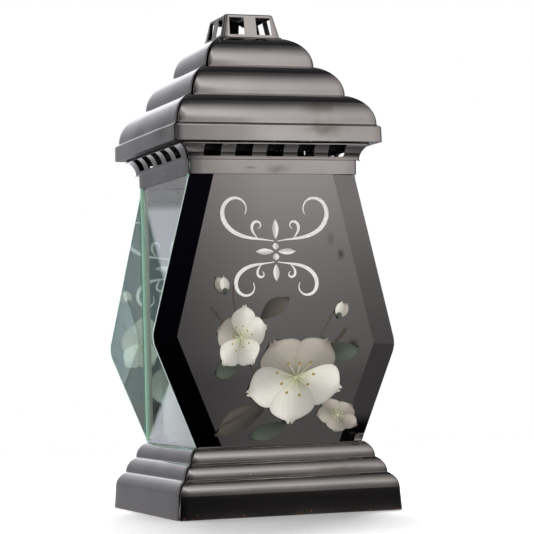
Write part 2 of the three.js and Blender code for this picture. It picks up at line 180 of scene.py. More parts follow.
def thick_sheet(outer, inner, keep=None, ring=False, open_head=False, dark_rows=0):
    """A closed sheet between two grids of the same size. Every kept cell has a face on both grids, and each
    border of a kept cell on a missing one, or on the grid's end, gets a wall. A ring closes on itself, and
    an open head is left without its wall. The inner grid is numbered for the black lacquer of the sheet's
    inner side, and the first rows of the outer one take the same black as painted shade."""
    rows, columns = outer.shape[:2]
    total = rows * columns
    index = np.arange(total).reshape(rows, columns)
    if ring:
        index = np.hstack([index, index[:, :1]])
    a, b, c, d = index[:-1, :-1], index[:-1, 1:], index[1:, 1:], index[1:, :-1]
    keep = np.ones(a.shape, bool) if keep is None else keep
    below = np.pad(keep, ((1, 0), (0, 0)))[:-1]
    above = np.pad(keep, ((0, 1), (0, 0)), constant_values=open_head)[1:]
    before = np.roll(keep, 1, axis=1) if ring else np.pad(keep, ((0, 0), (1, 0)))[:, :-1]
    after = np.roll(keep, -1, axis=1) if ring else np.pad(keep, ((0, 0), (0, 1)))[:, 1:]
    faces = [np.stack([a, d, c, b], -1)[keep], np.stack([a, b, c, d], -1)[keep] + total]
    # The first rows of the outer grid take the inner side's black as painted shade.
    dark = np.broadcast_to(np.arange(rows - 1)[:, None] < dark_rows, keep.shape)[keep]
    numbers = [dark.astype(int), np.ones(len(faces[1]), int)]
    for start, stop, neighbour in ((a, b, below), (b, c, after), (c, d, above), (d, a, before)):
        border = keep & ~neighbour
        low, high = start[border], stop[border]
        faces.append(np.stack([low, high, high + total, low + total], 1))
        numbers.append(np.zeros(len(low), int))
    points = np.concatenate([outer.reshape(-1, 3), inner.reshape(-1, 3)])
    return points, np.concatenate(faces), np.concatenate(numbers)


def turned(points, angle):
    """Points turned about the upright axis by an angle, anticlockwise as seen from above."""
    cosine, sine = math.cos(angle), math.sin(angle)
    x, y, z = points[..., 0], points[..., 1], points[..., 2]
    return np.stack([x * cosine - y * sine, x * sine + y * cosine, z], -1)


def folded_side(stretches, gap, columns, turn, keep=None, dark_rows=0, bow=0):
    """A folded side from its stretches of (points, depth of the corner flange): outer and inner face, each
    with its folds and flanges. The sheet is never quite flat, so a slow wave of small height runs over it,
    and it may bow, proud in its middle and shy at its ends."""
    path = np.vstack([points for points, _ in stretches])
    depth = np.concatenate([np.full(len(points), deep) for points, deep in stretches])
    edge = offset_path(path, depth)
    outer = side_surface(path, edge, gap, fold_reach, columns)
    inner_path = offset_path(path, np.full(len(path), sheet))
    inner = side_surface(inner_path, edge, gap + sheet * math.sqrt(2), inner_reach, columns)
    wave = dent_depth * np.sin(outer[..., 0] / dent_across + turn) * np.sin(outer[..., 2] / dent_up)
    bowed = bow * (1 - 2 * (outer[..., 0] / path[:, 0].max()) ** 2)
    for surface in (outer, inner):
        surface[..., 1] += wave + bowed
    points, faces, numbers = thick_sheet(outer, inner, keep, dark_rows=dark_rows)
    return turned(points, turn), faces, numbers


def make_piece(name, parts, materials, body, replaced=(), crease=32, whole=True, tints=None):
    """One mesh object from parts of (points, faces, material number), ridden on its body. The doubles of a
    whole, closed form are merged, edges sharper than the crease in degrees stay sharp, and the rest is
    shaded smooth. Tints are one linear colour for each point of an open form."""
    starts = np.cumsum([0] + [len(part[0]) for part in parts])
    points = np.concatenate([part[0] for part in parts]) * mm
    faces = [
        tuple(int(i) + int(start) for i in face)
        for part, start in zip(parts, starts)
        for face in part[1]
    ]
    numbers = [np.broadcast_to(part[2] if len(part) > 2 else 0, (len(part[1]),)) for part in parts]
    mesh = bpy.data.meshes.new(name)
    mesh.from_pydata(points.tolist(), [], faces)
    mesh.polygons.foreach_set("material_index", np.concatenate(numbers).astype(np.int32))
    for material in materials:
        mesh.materials.append(material)
    if whole:
        welded = bmesh.new()
        welded.from_mesh(mesh)
        bmesh.ops.remove_doubles(welded, verts=welded.verts, dist=weld_distance * mm)
        bmesh.ops.recalc_face_normals(welded, faces=welded.faces)
        welded.to_mesh(mesh)
        welded.free()
    if tints is not None:
        layer = mesh.color_attributes.new("tint", "FLOAT_COLOR", "POINT")
        layer.data.foreach_set("color", np.concatenate(tints).ravel())
    mesh.shade_smooth()
    mesh.set_sharp_from_angle(angle=math.radians(crease))
    made = bpy.data.objects.new(name, mesh)
    scene.collection.objects.link(made)
    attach(made, body)
    if replaced:
        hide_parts(*replaced)
    return made


def soften_edges(made, radius):
    """Rounds the sharp edges of a piece by a small bevel."""
    bevel = made.modifiers.new("bevel", "BEVEL")
    bevel.width = radius * mm
    bevel.segments = 2
    bevel.limit_method = "ANGLE"
    bevel.angle_limit = math.radians(bevel_above)
    bevel.use_clamp_overlap = False
    bevel.harden_normals = True


def linear(colour):
    """A hex colour as written on a paint chart, turned to the linear values that a shader takes."""
    channels = [int(colour[i : i + 2], 16) / 255 for i in (1, 3, 5)]
    return tuple(c / 12.92 if c <= 0.04045 else ((c + 0.055) / 1.055) ** 2.4 for c in channels) + (1.0,)


def add_node(tree, kind, inputs=None, stops=None, **settings):
    """Adds one shader node: its settings, its colour stops if it has any, then a value or link for each
    input. A node that is given as an input is linked by its first output."""
    made = tree.nodes.new("ShaderNode" + kind)
    for name, value in settings.items():
        setattr(made, name, value)
    if stops:
        ramp = made.color_ramp
        while len(ramp.elements) > 1:
            ramp.elements.remove(ramp.elements[-1])
        ramp.elements[0].position = stops[0][0]
        for place, _ in stops[1:]:
            ramp.elements.new(place)
        for stop, (_, colour) in zip(ramp.elements, stops):
            stop.color = colour
    for name, value in (inputs or {}).items():
        value = value.outputs[0] if isinstance(value, bpy.types.Node) else value
        if isinstance(value, bpy.types.NodeSocket):
            tree.links.new(value, made.inputs[name])
        else:
            made.inputs[name].default_value = value
    return made


def new_material(name):
    """An empty material, its node tree, and the object's own coordinates for its patterns."""
    material = bpy.data.materials.new(name)
    material.use_nodes = True
    tree = material.node_tree
    tree.nodes.clear()
    return material, tree, add_node(tree, "TexCoord").outputs["Object"]


def mottled_material(name, grain, detail, dark, light, finish, glow=0):
    """A material whose colour drifts between two hex colours in clouds of a grain in millimetres. The rest
    of its finish is given as plain values, and a glow gives off that share of the colour as light."""
    material, tree, place = new_material(name)
    cloud = add_node(tree, "TexNoise", {"Vector": place, "Scale": 1 / (grain * mm), "Detail": detail})
    shade = add_node(tree, "MixRGB", {"Fac": cloud, "Color1": linear(dark), "Color2": linear(light)})
    if glow:
        finish = {**finish, "Emission Color": shade, "Emission Strength": glow}
    surface = add_node(tree, "BsdfPrincipled", {"Base Color": shade, **finish})
    add_node(tree, "OutputMaterial", {"Surface": surface})
    return material


def smear_mask(tree, place, ragged, marks):
    """The strongest of several smears: ellipses of (middle, half size, strength) with ragged edges."""
    strongest = None
    for middle, size, strength in marks:
        shift = tuple(-m / s for m, s in zip(middle, size))
        shrink = tuple(1 / (s * mm) for s in size)
        centred = add_node(tree, "Mapping", {"Vector": place, "Location": shift, "Scale": shrink})
        away = add_node(tree, "VectorMath", {0: centred}, operation="LENGTH").outputs["Value"]
        wavy = add_node(tree, "Math", {0: away, 1: ragged}, operation="ADD")
        spot = add_node(
            tree,
            "MapRange",
            {"Value": wavy, "From Min": smear_core, "From Max": smear_rim, "To Min": strength, "To Max": 0},
            interpolation_type="SMOOTHSTEP",
        )
        if strongest is None:
            strongest = spot
        else:
            strongest = add_node(tree, "Math", {0: strongest, 1: spot}, operation="MAXIMUM")
    return strongest


def lacquered_steel(name, marks, rust_height=0):
    """Sheet steel plated dark and lacquered: a warm grey mirror, a little hazy. The eye sees the faint
    clouding of the lacquer, rare specks of dust, the greasy marks of hands where they are given, and specks
    of rust up to a height where water stands."""
    material, tree, place = new_material(name)
    cloud = add_node(tree, "TexNoise", {"Vector": place, "Scale": 1 / (cloud_grain * mm), "Detail": 3})
    clouding = add_node(tree, "MapRange", {"Value": cloud, "From Min": cloud_low, "From Max": cloud_high})
    ragged = add_node(tree, "TexNoise", {"Vector": place, "Scale": 1 / (smear_grain * mm), "Detail": 4})
    smear = smear_mask(tree, place, ragged, marks)
    clean = add_node(
        tree, "MixRGB", {"Fac": clouding, "Color1": linear("#aca6a3"), "Color2": linear("#b3adaa")}
    )
    colour = add_node(tree, "MixRGB", {"Fac": smear, "Color1": clean, "Color2": linear("#7f766a")})
    haze = add_node(tree, "MapRange", {"Value": smear, "To Min": clean_haze, "To Max": smeared_haze})
    surface = add_node(tree, "BsdfPrincipled", {"Base Color": colour, "Metallic": 1, "Roughness": haze})
    cells = add_node(tree, "TexVoronoi", {"Vector": place, "Scale": 1 / (dust_spacing * mm)})
    near = {"Value": cells.outputs["Distance"], "From Min": dust_core, "From Max": dust_rim}
    grain = add_node(tree, "MapRange", {**near, "To Min": 1, "To Max": 0})
    chosen = add_node(tree, "SeparateColor", {"Color": cells.outputs["Color"]})
    rare = add_node(tree, "Math", {0: chosen, 1: dust_rarity}, operation="GREATER_THAN")
    dust = add_node(tree, "Math", {0: grain, 1: rare}, operation="MULTIPLY")
    specks = [(dust, "#bcb8b3")]
    if rust_height:
        height = add_node(tree, "SeparateXYZ", {0: place}).outputs["Z"]
        low_down = {"Value": height, "From Max": rust_height * mm}
        near_floor = add_node(
            tree, "MapRange", {**low_down, "To Min": rust_at_floor, "To Max": rust_at_line}
        )
        pits = add_node(tree, "TexNoise", {"Vector": place, "Scale": 1 / (pit_grain * mm), "Detail": 3})
        eaten = add_node(tree, "Math", {0: pits, 1: near_floor}, operation="ADD")
        rust = add_node(tree, "MapRange", {"Value": eaten, "From Min": rust_onset, "From Max": rust_full})
        specks.append((rust, "#744427"))
    for where, dull_colour in specks:
        dull = add_node(tree, "BsdfPrincipled", {"Base Color": linear(dull_colour), "Roughness": 0.9})
        surface = add_node(tree, "MixShader", {0: where, 1: surface, 2: dull})
    add_node(tree, "OutputMaterial", {"Surface": surface})
    return material


def four_sides(piece, node, body, steel, *fold, **extras):
    """A ring of four folded sides, each its own piece, turned to its quarter, with its edges softened."""
    for side, turn in quarter_turns.items():
        made = make_piece(
            f"{piece}_{side}",
            [folded_side(*fold, turn, **extras)],
            [steel, inner_lacquer_and_painted_shade],
            body,
            [f"{node}_{side}"],
        )
        soften_edges(made, edge_radius)


plinth_low, plinth_high = node_box("plinth_front")
pane_low, pane_high = node_box("right_pane")
glass_face, glass_back = pane_high[0], pane_low[0]
glass_bottom, glass_top = pane_low[2], pane_high[2]
base_half = -plinth_low[1]
plinth_top = plinth_high[2]
lip_half = glass_face + glass_clearance
skirt_top_half = base_half - skirt_draft
base_run = (skirt_top_half - lip_half) / base_rolls
base_rise = (plinth_top - skirt_height) / base_rolls
base_tiers = [
    roll_arc(skirt_top_half - tier * base_run, skirt_height + tier * base_rise, base_run, base_rise)
    for tier in range(base_rolls)
]
plinth_stretches = [
    (np.array([[base_half - hem_width, 0], [base_half, 0]]), hem_flange),
    (np.vstack([base_tiers[0][:-1], base_tiers[1][:-1]]), roll_flange),
    (np.vstack([base_tiers[2], [[lip_half, glass_bottom]]]), lip_flange),
]
plinth_marks = [((40, -70, 30), (26, 30, 2.2), 0.7), ((-10, -70, 27), (30, 30, 1.0), 0.6)]
plinth_steel = lacquered_steel("lacquered_steel_plinth", plinth_marks, rust_line)
# The lacquer on the steel's inner side is dull and even black, with the fine orange peel of a dip. The
# same black stands as painted shade on the lid lip's downward face and on the collar under the lid.
inner_lacquer_and_painted_shade = mottled_material(
    "black_inner_lacquer_and_painted_shade",
    lacquer_grain,
    2,
    "#17161a",
    "#232226",
    {"Roughness": 0.45, "Specular IOR Level": 0.25},
)
four_sides(
    "plinth_skirt", "plinth", "lantern_body", plinth_steel,
    plinth_stretches, plinth_seam, even_columns(face_columns),
)

# Top frame
# Four sides of the same steel round the head of the glass: a straight neck, a small step, and a cove pierced
# with five vent slots under the flange that carries the lid.
frame_low, frame_high = node_box("frame_front")
neck_height = 9.9
neck_flare = 0.2
cove_step = 1.7
cove_radius = 12
cove_turn = math.radians(57)
throat_inset = 3.8
slots = 5
slot_bar = 10.5
slot_end = 5
slot_lift = 2.2
slot_cells = 4
bar_cells = 3
cove_foot_steps = 3
cove_steps = 10
frame_flange = 2.2
cove_top_half = -frame_low[1]
neck_bottom, frame_top = frame_low[2], frame_high[2]
neck_top = neck_bottom + neck_height
neck_half = glass_face + glass_clearance + sheet
cove_centre = (neck_half + cove_step + cove_radius, neck_top)
slot_foot = math.asin(slot_lift / cove_radius)
cove_foot = arc(cove_centre, cove_radius, math.pi, math.pi - slot_foot, cove_foot_steps)
cove_pierced = arc(cove_centre, cove_radius, math.pi - slot_foot, math.pi - cove_turn, cove_steps)
frame_stretches = [
    (np.array([[neck_half - neck_flare, neck_bottom], [neck_half, neck_top]]), lip_flange),
    (np.vstack([cove_foot, cove_pierced[1:]]), frame_flange),
    (np.array([[cove_top_half, frame_top], [neck_half - throat_inset, frame_top]]), lip_flange),
]
slot_pitch = 2 * (neck_half - slot_end) / slots
slot_width = slot_pitch - slot_bar
slot_middles = (np.arange(slots) - (slots - 1) / 2) * slot_pitch
slot_shares = np.linspace(-0.5, 0.5, slot_cells + 1)
bar_shares = np.linspace(0, 1, bar_cells + 1)[1:-1]
slot_columns = (slot_middles[:, None] + slot_shares * slot_width).ravel()
bar_columns = (slot_middles[:-1, None] + slot_width / 2 + bar_shares * slot_bar).ravel()
fixed_columns = np.sort(np.concatenate([slot_columns, bar_columns]))


def frame_columns(reach):
    """Columns that keep to the slots' edges, with one more at each end of the face."""
    fixed = np.broadcast_to(fixed_columns, (len(reach), len(fixed_columns)))
    return np.hstack([-reach[:, None], fixed, reach[:, None]])


frame_rows = sum(len(points) for points, _ in frame_stretches)
frame_keep = np.ones((frame_rows - 1, 2 * fold_columns + len(fixed_columns) + 1), bool)
first_slot_row = len(frame_stretches[0][0]) + len(cove_foot) - 1
for middle in slot_middles:
    first = fold_columns + 1 + int(np.argmin(np.abs(fixed_columns - (middle - slot_width / 2))))
    frame_keep[first_slot_row : first_slot_row + len(cove_pierced) - 1, first : first + slot_cells] = False
frame_marks = [((3, -62, 237), (10, 20, 4), 0.42), ((-17, -62, 238), (6, 20, 1), 0.5)]
frame_steel = lacquered_steel("lacquered_steel_frame", frame_marks)
four_sides(
    "frame_band", "frame", "lantern_body", frame_steel,
    frame_stretches, plinth_seam, frame_columns, keep=frame_keep,
)

# Lid
# Four sides of the same steel joined at open corner seams: lip, fascia with a rounded shoulder, a narrow
# ledge, three tall quarter-round tiers and the flat rim round the smoke opening.
roof_low, roof_high = node_box("roof_front")
cap_low, cap_high = node_box("chimney_cap")
roof_seam = 0.9
fascia_height = 11.6
fascia_draft = 0.1
fascia_round = 1.6
fascia_flange = 1.4
ledge_rise = 0.9
ledge_run = 2.4
lip_lap = 5.6
roof_rolls = 3
rim_margin = 0.2
smoke_half = 15
roof_flange = 5
roof_bow = 0.3
shoulder_steps = 6
fascia_half = -roof_low[1]
lid_bottom, roof_top = roof_low[2], roof_high[2]
shoulder = fascia_half - fascia_draft
fascia_top = lid_bottom + fascia_height
roof_foot = fascia_top + ledge_rise
roof_half = shoulder - ledge_run
roof_top_half = cap_high[0] + rim_margin
roof_run = (roof_half - roof_top_half) / roof_rolls
roof_rise = (roof_top - roof_foot) / roof_rolls
bend_middle = (shoulder - fascia_round, fascia_top - fascia_round)
bend = arc(bend_middle, fascia_round, 0, math.pi / 2, shoulder_steps)
roof_tiers = [
    roll_arc(roof_half - tier * roof_run, roof_foot + tier * roof_rise, roof_run, roof_rise)
    for tier in range(roof_rolls)
]
roof_stretches = [
    (np.array([[cove_top_half - lip_lap, lid_bottom], [fascia_half, lid_bottom]]), fascia_flange),
    (bend, fascia_flange),
    (np.vstack([tier[:-1] for tier in roof_tiers]), roof_flange),
    (np.array([[roof_top_half, roof_top], [smoke_half, roof_top]]), fascia_flange),
]
roof_marks = [
    ((31, -70, 279), (13, 30, 6), 0.8),
    ((33, -75, 264), (17, 30, 7), 0.75),
    ((5, -40, 324), (5, 30, 2.4), 0.35),
    ((-9, -40, 327), (3.4, 30, 2), 0.3),
    ((-76, -46, 264), (30, 17, 7), 0.8),
    ((-76, 20, 270), (30, 22, 4), 0.3),
]
roof_steel = lacquered_steel("lacquered_steel_lid", roof_marks)
# The lid's lip faces down under the lid, and its outer face is given the black as painted shade.
four_sides(
    "roof_tiers", "roof", "lid", roof_steel,
    roof_stretches, roof_seam, even_columns(face_columns), dark_rows=1, bow=roof_bow,
)

# Chimney cap
# One pressing on top of the lid: a flange, four walls that lean in with two windows each, a rounded shoulder
# and a flat head. A tongue is folded in at the head of every window.
cap_flange = 1.5
cap_top_half = 18.2
cap_round = 1.6
cap_corner = 1.6
cap_corner_margin = 0.3
cap_corner_steps = 5
window_lift = 2.4
window_rise = 12.8
window_width = 10.6
window_spread = 0.7
post_width = 9.1
tongue_drop = 5
tongue_tilt = math.radians(50)
window_columns = (1, 4)
window_cells = 2
window_rows = slice(2, 4)
tongue_rows = 7
shoulder_rows = 5
cap_seat, cap_head = cap_low[2], cap_high[2]
cap_base_half = cap_high[0] - cap_flange
sill, lintel = cap_seat + window_lift, cap_seat + window_lift + window_rise


def square_ring(half, up, radius, stations):
    """Rings round a square with rounded corners, one row for each half width and height. The stations are
    a function that gives the places along a side from the half width less the radius and the height, and
    each corner is an arc."""
    rows = []
    for turn in range(4):
        flat = half - radius
        along = stations(flat, up)
        straight = np.stack([along, np.broadcast_to(half[:, None], along.shape)], 2)
        angle = np.linspace(math.pi / 2, 0, cap_corner_steps + 1)[1:-1]
        corner = flat[:, None, None] + radius[:, None, None] * np.stack([np.cos(angle), np.sin(angle)], 1)
        plan = np.concatenate([straight, corner], 1)
        height = np.broadcast_to(up[:, None, None], plan.shape[:2] + (1,))
        rows.append(turned(np.concatenate([plan, height], 2), -turn * math.pi / 2))
    return np.concatenate(rows, 1)


def window_stations(flat, up):
    """Places along a wall of the cap: its ends, and the two windows' edges, which spread to the foot."""
    down = np.clip((lintel - up) / window_rise, 0, 1)
    near = np.full(len(up), post_width / 2)
    far = near + window_width + window_spread * down
    half_side = np.stack([near, (near + far) / 2, far], 1)
    half_side = np.minimum(half_side, flat[:, None] - cap_corner_margin)
    return np.hstack([-flat[:, None], -half_side[:, ::-1], half_side, flat[:, None]])


def cap_surface(shrink):
    """The cap's rows from the flange to the edge of its flat head, moved in by the sheet's thickness."""
    bend_radius = cap_round - shrink
    bent = arc((cap_top_half - cap_round, cap_head - cap_round), bend_radius, 0, math.pi / 2, shoulder_rows)
    lean = (cap_base_half - cap_top_half) / (cap_head - cap_round - cap_seat - sheet)
    levels = np.array([lintel, (sill + lintel) / 2, sill])[::-1]
    halves = cap_top_half + lean * (cap_head - cap_round - levels) - shrink
    foot = [
        [cap_base_half + cap_flange, cap_seat + sheet - shrink],
        [cap_base_half - shrink, cap_seat + sheet - shrink],
    ]
    rows = np.vstack([foot, np.stack([halves, levels], 1), bent])
    radius = np.full(len(rows), cap_corner - shrink)
    radius[0] = cap_corner + cap_flange
    return square_ring(rows[:, 0], rows[:, 1], radius, window_stations)


cap_outer, cap_inner = cap_surface(0), cap_surface(sheet)
cap_columns = cap_outer.shape[1]
cap_keep = np.ones((len(cap_outer) - 1, cap_columns), bool)
for turn in range(4):
    for first_column in window_columns:
        start = turn * cap_columns // 4 + first_column
        cap_keep[window_rows, start : start + window_cells] = False
cap_points, cap_faces, cap_numbers = thick_sheet(cap_outer, cap_inner, cap_keep, ring=True, open_head=True)
head_ring = np.arange(cap_outer[..., 0].size - cap_columns, cap_outer[..., 0].size)
cap_faces = [*cap_faces, head_ring[::-1], head_ring + cap_outer[..., 0].size]
cap_numbers = np.append(cap_numbers, [0, 1])
cap_parts = [(cap_points, cap_faces, cap_numbers)]
swing = np.linspace(0, 1, tongue_rows)
for turn in range(4):
    for hand in (-1, 1):
        middle = hand * (post_width + window_width) / 2
        across = middle + np.linspace(-0.5, 0.5, 3) * (window_width - 2 * sheet)
        bent_in = tongue_drop * np.sin(swing * tongue_tilt) / tongue_tilt
        bent_down = tongue_drop * (1 - np.cos(swing * tongue_tilt)) / tongue_tilt
        root = cap_top_half - sheet / 2
        spine = np.stack([root - bent_in, lintel + sheet / 2 - bent_down], 1)
        under = offset_path(spine, np.full(len(spine), sheet))
        grids = [
            np.stack(np.broadcast_arrays(across[None, :], line[:, :1], line[:, 1:]), 2)
            for line in (spine, under)
        ]
        points, faces, numbers = thick_sheet(*grids)
        cap_parts.append((turned(points, turn * math.pi / 2), faces, numbers))
cap = make_piece(
    "cap_pressing", cap_parts, [roof_steel, inner_lacquer_and_painted_shade], "lid", ["chimney_cap"]
)
soften_edges(cap, edge_radius)

# Bevelled panels
# Two hexagonal plates of float glass, ground to a wide bevel on their four slanting edges. The front one is
# coated dark, and the rear one is a mirror under a clear plate. Both stand in the plinth's channel.
low_flare = 27.6
low_waist = 66.5
high_flare = 29.3
high_waist = 74.3
panel_corner_radius = 20
bevel_width = 16.6
bevel_depth = 1.9
arris = 0.3
corner_steps = 20
plate_gap = 0.01
mirror_plate = 1.3
glass_crease = 3.5
# The share of their colour that the ground glass rims give off as a painted glow.
rim_painted_glow = 0.45
finger_grain = 11.111
coat_grain = 8.333
silver_grain = 33.333
film_grain = 40
rim_grain = 5.556
ground_grain = 4.545
glass_ior = 1.5
coated_haze = 0.045
finger_haze = 0.25
silver_haze = 0.005
film_haze = 0.02
# Where the back coat turns pale grey as painted light, in millimetres out from the middle.
painted_light_start = 61
painted_light_end = 61.8
white = linear("#ffffff")
panel_marks = [
    ((48, -60, 178), (3.4, 20, 5), 0.9),
    ((41, -60, 188), (3, 20, 6), 0.35),
    ((55, -60, 115), (5, 20, 4.6), 0.95),
]


def panel_side(flare, waist, grow):
    """One side of the panel in rows from foot to head: its outline, moved out by a margin, the inner edge of
    the bevel that each outline point belongs to, and how deep the bevel lies there. Straight edges are lines
    at their lean, and the corner is an arc that touches both. The depth grows evenly from the bevel's inner
    edge to the sharp outline, and the deeper of the two facets counts."""
    lower, upper = math.atan2(flare, waist), math.atan2(flare, neck_bottom - plinth_top - waist)
    foot = glass_face - (plinth_top - glass_bottom) * math.tan(lower)
    head = glass_face - (glass_top - neck_bottom) * math.tan(upper)
    sharp = np.array([glass_face + flare, plinth_top + waist])
    tilt, opening = (upper - lower) / 2, math.cos((upper + lower) / 2)
    toward = np.array([math.cos(tilt), math.sin(tilt)])
    centre = sharp - toward * panel_corner_radius / opening
    rounded = arc(centre, panel_corner_radius + grow, -lower, upper, corner_steps)
    outline = np.vstack([
        [[foot + grow / math.cos(lower), glass_bottom]],
        rounded,
        [[head + grow / math.cos(upper), glass_top]],
    ])
    inner = np.vstack([
        [[foot - bevel_width / math.cos(lower), glass_bottom]],
        np.broadcast_to(sharp - toward * bevel_width / opening, rounded.shape),
        [[head - bevel_width / math.cos(upper), glass_top]],
    ])
    away, climb = (sharp - outline).T
    from_lower = away * math.cos(lower) - climb * math.sin(lower)
    from_upper = away * math.cos(upper) + climb * math.sin(upper)
    share = 1 - np.minimum(from_lower, from_upper) / bevel_width
    return outline, inner, np.clip(share, 0, 1) * bevel_depth


def panel_rows(grow=0):
    """The whole panel's outline, inner bevel edge and bevel depth, once round: up the low-cornered side and
    down the other."""
    low, high = panel_side(low_flare, low_waist, grow), panel_side(high_flare, high_waist, grow)
    flip = np.array([-1, 1])
    return (
        np.vstack([low[0], high[0][::-1] * flip]),
        np.vstack([low[1], high[1][::-1] * flip]),
        np.concatenate([low[2], high[2][::-1]]),
    )


def ringed_plate(rings):
    """A closed plate from rings of (points, depth). The first and the last ring are filled, and each pair of
    neighbours is joined by a band."""
    layers = [
        np.stack([plan[:, 0], np.broadcast_to(depth, (len(plan),)), plan[:, 1]], 1) for plan, depth in rings
    ]
    count = len(layers[0])
    around = np.arange(count)
    after = np.roll(around, -1)
    bands = [
        np.stack([around, after, after + count, around + count], 1) + level * count
        for level in range(len(layers) - 1)
    ]
    return np.concatenate(layers), bands, around, around + count * (len(layers) - 1)


def bevelled_panel(face, back):
    """The bevelled plate from its face to its back: face and bevels take material 0, the ground rim 1, and
    the back 2."""
    outline, inner, sink = panel_rows()
    drawn_in, _, sink_in = panel_rows(-arris)
    points, bands, first, last = ringed_plate([
        (inner, face),
        (drawn_in, face + sink_in),
        (outline, face + sink + arris),
        (outline, back - arris),
        (drawn_in, back),
    ])
    return [
        (points, [first[::-1], *bands[0]], 0),
        (points, [*bands[1], *bands[2], *bands[3]], 1),
        (points, [last], 2),
    ]


def dark_mirror():
    """Float glass with a hard dark coating: a smooth, slightly warm mirror that gives back about a third of
    the room, with the faint film of dust and the few finger smears of a thing that has been handled."""
    material, tree, place = new_material("dark_coated_glass")
    ragged = add_node(tree, "TexNoise", {"Vector": place, "Scale": 1 / (finger_grain * mm), "Detail": 5})
    smear = smear_mask(tree, place, ragged, panel_marks)
    haze = add_node(tree, "MapRange", {"Value": smear, "To Min": coated_haze, "To Max": finger_haze})
    colour = add_node(
        tree, "MixRGB", {"Fac": smear, "Color1": linear("#969190"), "Color2": linear("#5c5650")}
    )
    surface = add_node(tree, "BsdfPrincipled", {"Base Color": colour, "Metallic": 1, "Roughness": haze})
    add_node(tree, "OutputMaterial", {"Surface": surface})
    return material


def back_coat():
    """The painted back of the dark glass as it shows from inside: a flat grey-teal coat with fine orange
    peel. Outside the panes it is painted pale grey, a painted light for the stronger light that falls there."""
    material, tree, place = new_material("back_coat")
    peel = add_node(tree, "TexNoise", {"Vector": place, "Scale": 1 / (coat_grain * mm), "Detail": 3})
    shade = add_node(
        tree, "MixRGB", {"Fac": peel, "Color1": linear("#4b595d"), "Color2": linear("#556468")}
    )
    # Past the panes' edges the coat turns pale grey: painted light for the brighter light outside the
    # lantern.
    across = add_node(tree, "SeparateXYZ", {0: place}).outputs["X"]
    aside = add_node(tree, "Math", {0: across}, operation="ABSOLUTE")
    painted_light_span = {"Value": aside, "From Min": painted_light_start * mm, "From Max": painted_light_end * mm}
    outside = add_node(tree, "MapRange", painted_light_span)
    coat = add_node(tree, "MixRGB", {"Fac": outside, "Color1": shade, "Color2": linear("#c0c4c6")})
    surface = add_node(tree, "BsdfPrincipled", {"Base Color": coat, "Roughness": 0.3})
    add_node(tree, "OutputMaterial", {"Surface": surface})
    return material


def silvered_glass():
    """The silver coat of the rear mirror: cool, bright and all but sharp, with a slow change of haze."""
    material, tree, place = new_material("silvered_glass")
    film = add_node(tree, "TexNoise", {"Vector": place, "Scale": 1 / (silver_grain * mm), "Detail": 2})
    haze = add_node(tree, "MapRange", {"Value": film, "To Min": silver_haze, "To Max": film_haze})
    surface = add_node(
        tree, "BsdfPrincipled", {"Base Color": linear("#e6ebed"), "Metallic": 1, "Roughness": haze}
    )
    add_node(tree, "OutputMaterial", {"Surface": surface})
    return material


def cover_glass():
    """The clear plate over the mirror: parallel and thin, so it bends nothing and only adds the gleam of its
    faces, stronger at a slant."""
    material, tree, place = new_material("clear_cover_glass")
    film = add_node(tree, "TexNoise", {"Vector": place, "Scale": 1 / (film_grain * mm), "Detail": 2})
    haze = add_node(tree, "MapRange", {"Value": film, "To Min": 0, "To Max": film_haze})
    gleam = add_node(tree, "BsdfPrincipled", {"Base Color": white, "Metallic": 1, "Roughness": haze})
    passing = add_node(tree, "BsdfTransparent", {"Color": linear("#fafdfc")})
    slant = add_node(tree, "Fresnel", {"IOR": glass_ior})
    both = add_node(tree, "MixShader", {0: slant, 1: passing, 2: gleam})
    add_node(tree, "OutputMaterial", {"Surface": both})
    return material


dark_glass, painted_back, silver = dark_mirror(), back_coat(), silvered_glass()
# The ground rim of the dark-coated plate is painted pale: a painted highlight for the thin line of light
# along its edge.
dark_rim = mottled_material("coated_glass_edge", rim_grain, 3, "#9fb0aa", "#c3d0cb", {"Roughness": 0.4})
# A ground rim of clear plate is satin, pale green and a little uneven where the grinding stone ran. It
# also glows with a painted light of its own, which stands in for the light that the glass gathers inside
# and shows at its rim.
ground = {"Roughness": 0.35}
rim_glass = mottled_material("ground_plate_edge", ground_grain, 3, "#b9c8c1", "#d5e1db", ground, rim_painted_glow)
make_piece(
    "front_panel_glass",
    bevelled_panel(-glass_face, -glass_back),
    [dark_glass, dark_rim, painted_back],
    "lantern_body",
    ["front_panel"],
    crease=glass_crease,
)
mirror_body = [
    (turned(points, math.pi), faces, number)
    for points, faces, number in bevelled_panel(-glass_face, -glass_back - mirror_plate)
]
make_piece(
    "rear_panel_mirror",
    mirror_body,
    [dark_glass, rim_glass, silver],
    "lantern_body",
    ["rear_panel"],
    crease=glass_crease,
)
outline, drawn_in = (panel_rows(grow)[0] * np.array([-1, 1]) for grow in (0, -arris))
cover_points, cover_bands, cover_first, cover_last = ringed_plate([
    (drawn_in, glass_back),
    (outline, glass_back + arris),
    (outline, glass_back + mirror_plate - arris),
    (drawn_in, glass_back + mirror_plate - plate_gap),
])
make_piece(
    "rear_cover_plate",
    [(cover_points, [cover_first[::-1], cover_last], 0), (cover_points, np.concatenate(cover_bands), 1)],
    [cover_glass(), rim_glass],
    "lantern_body",
    crease=glass_crease,
)

# Side panes
# Two plain panes of clear float glass between the panels, their rims ground. They carry no frame: the
# plinth's lip, the frame's neck and the silicone in the corners hold them.
pane_crease = 20


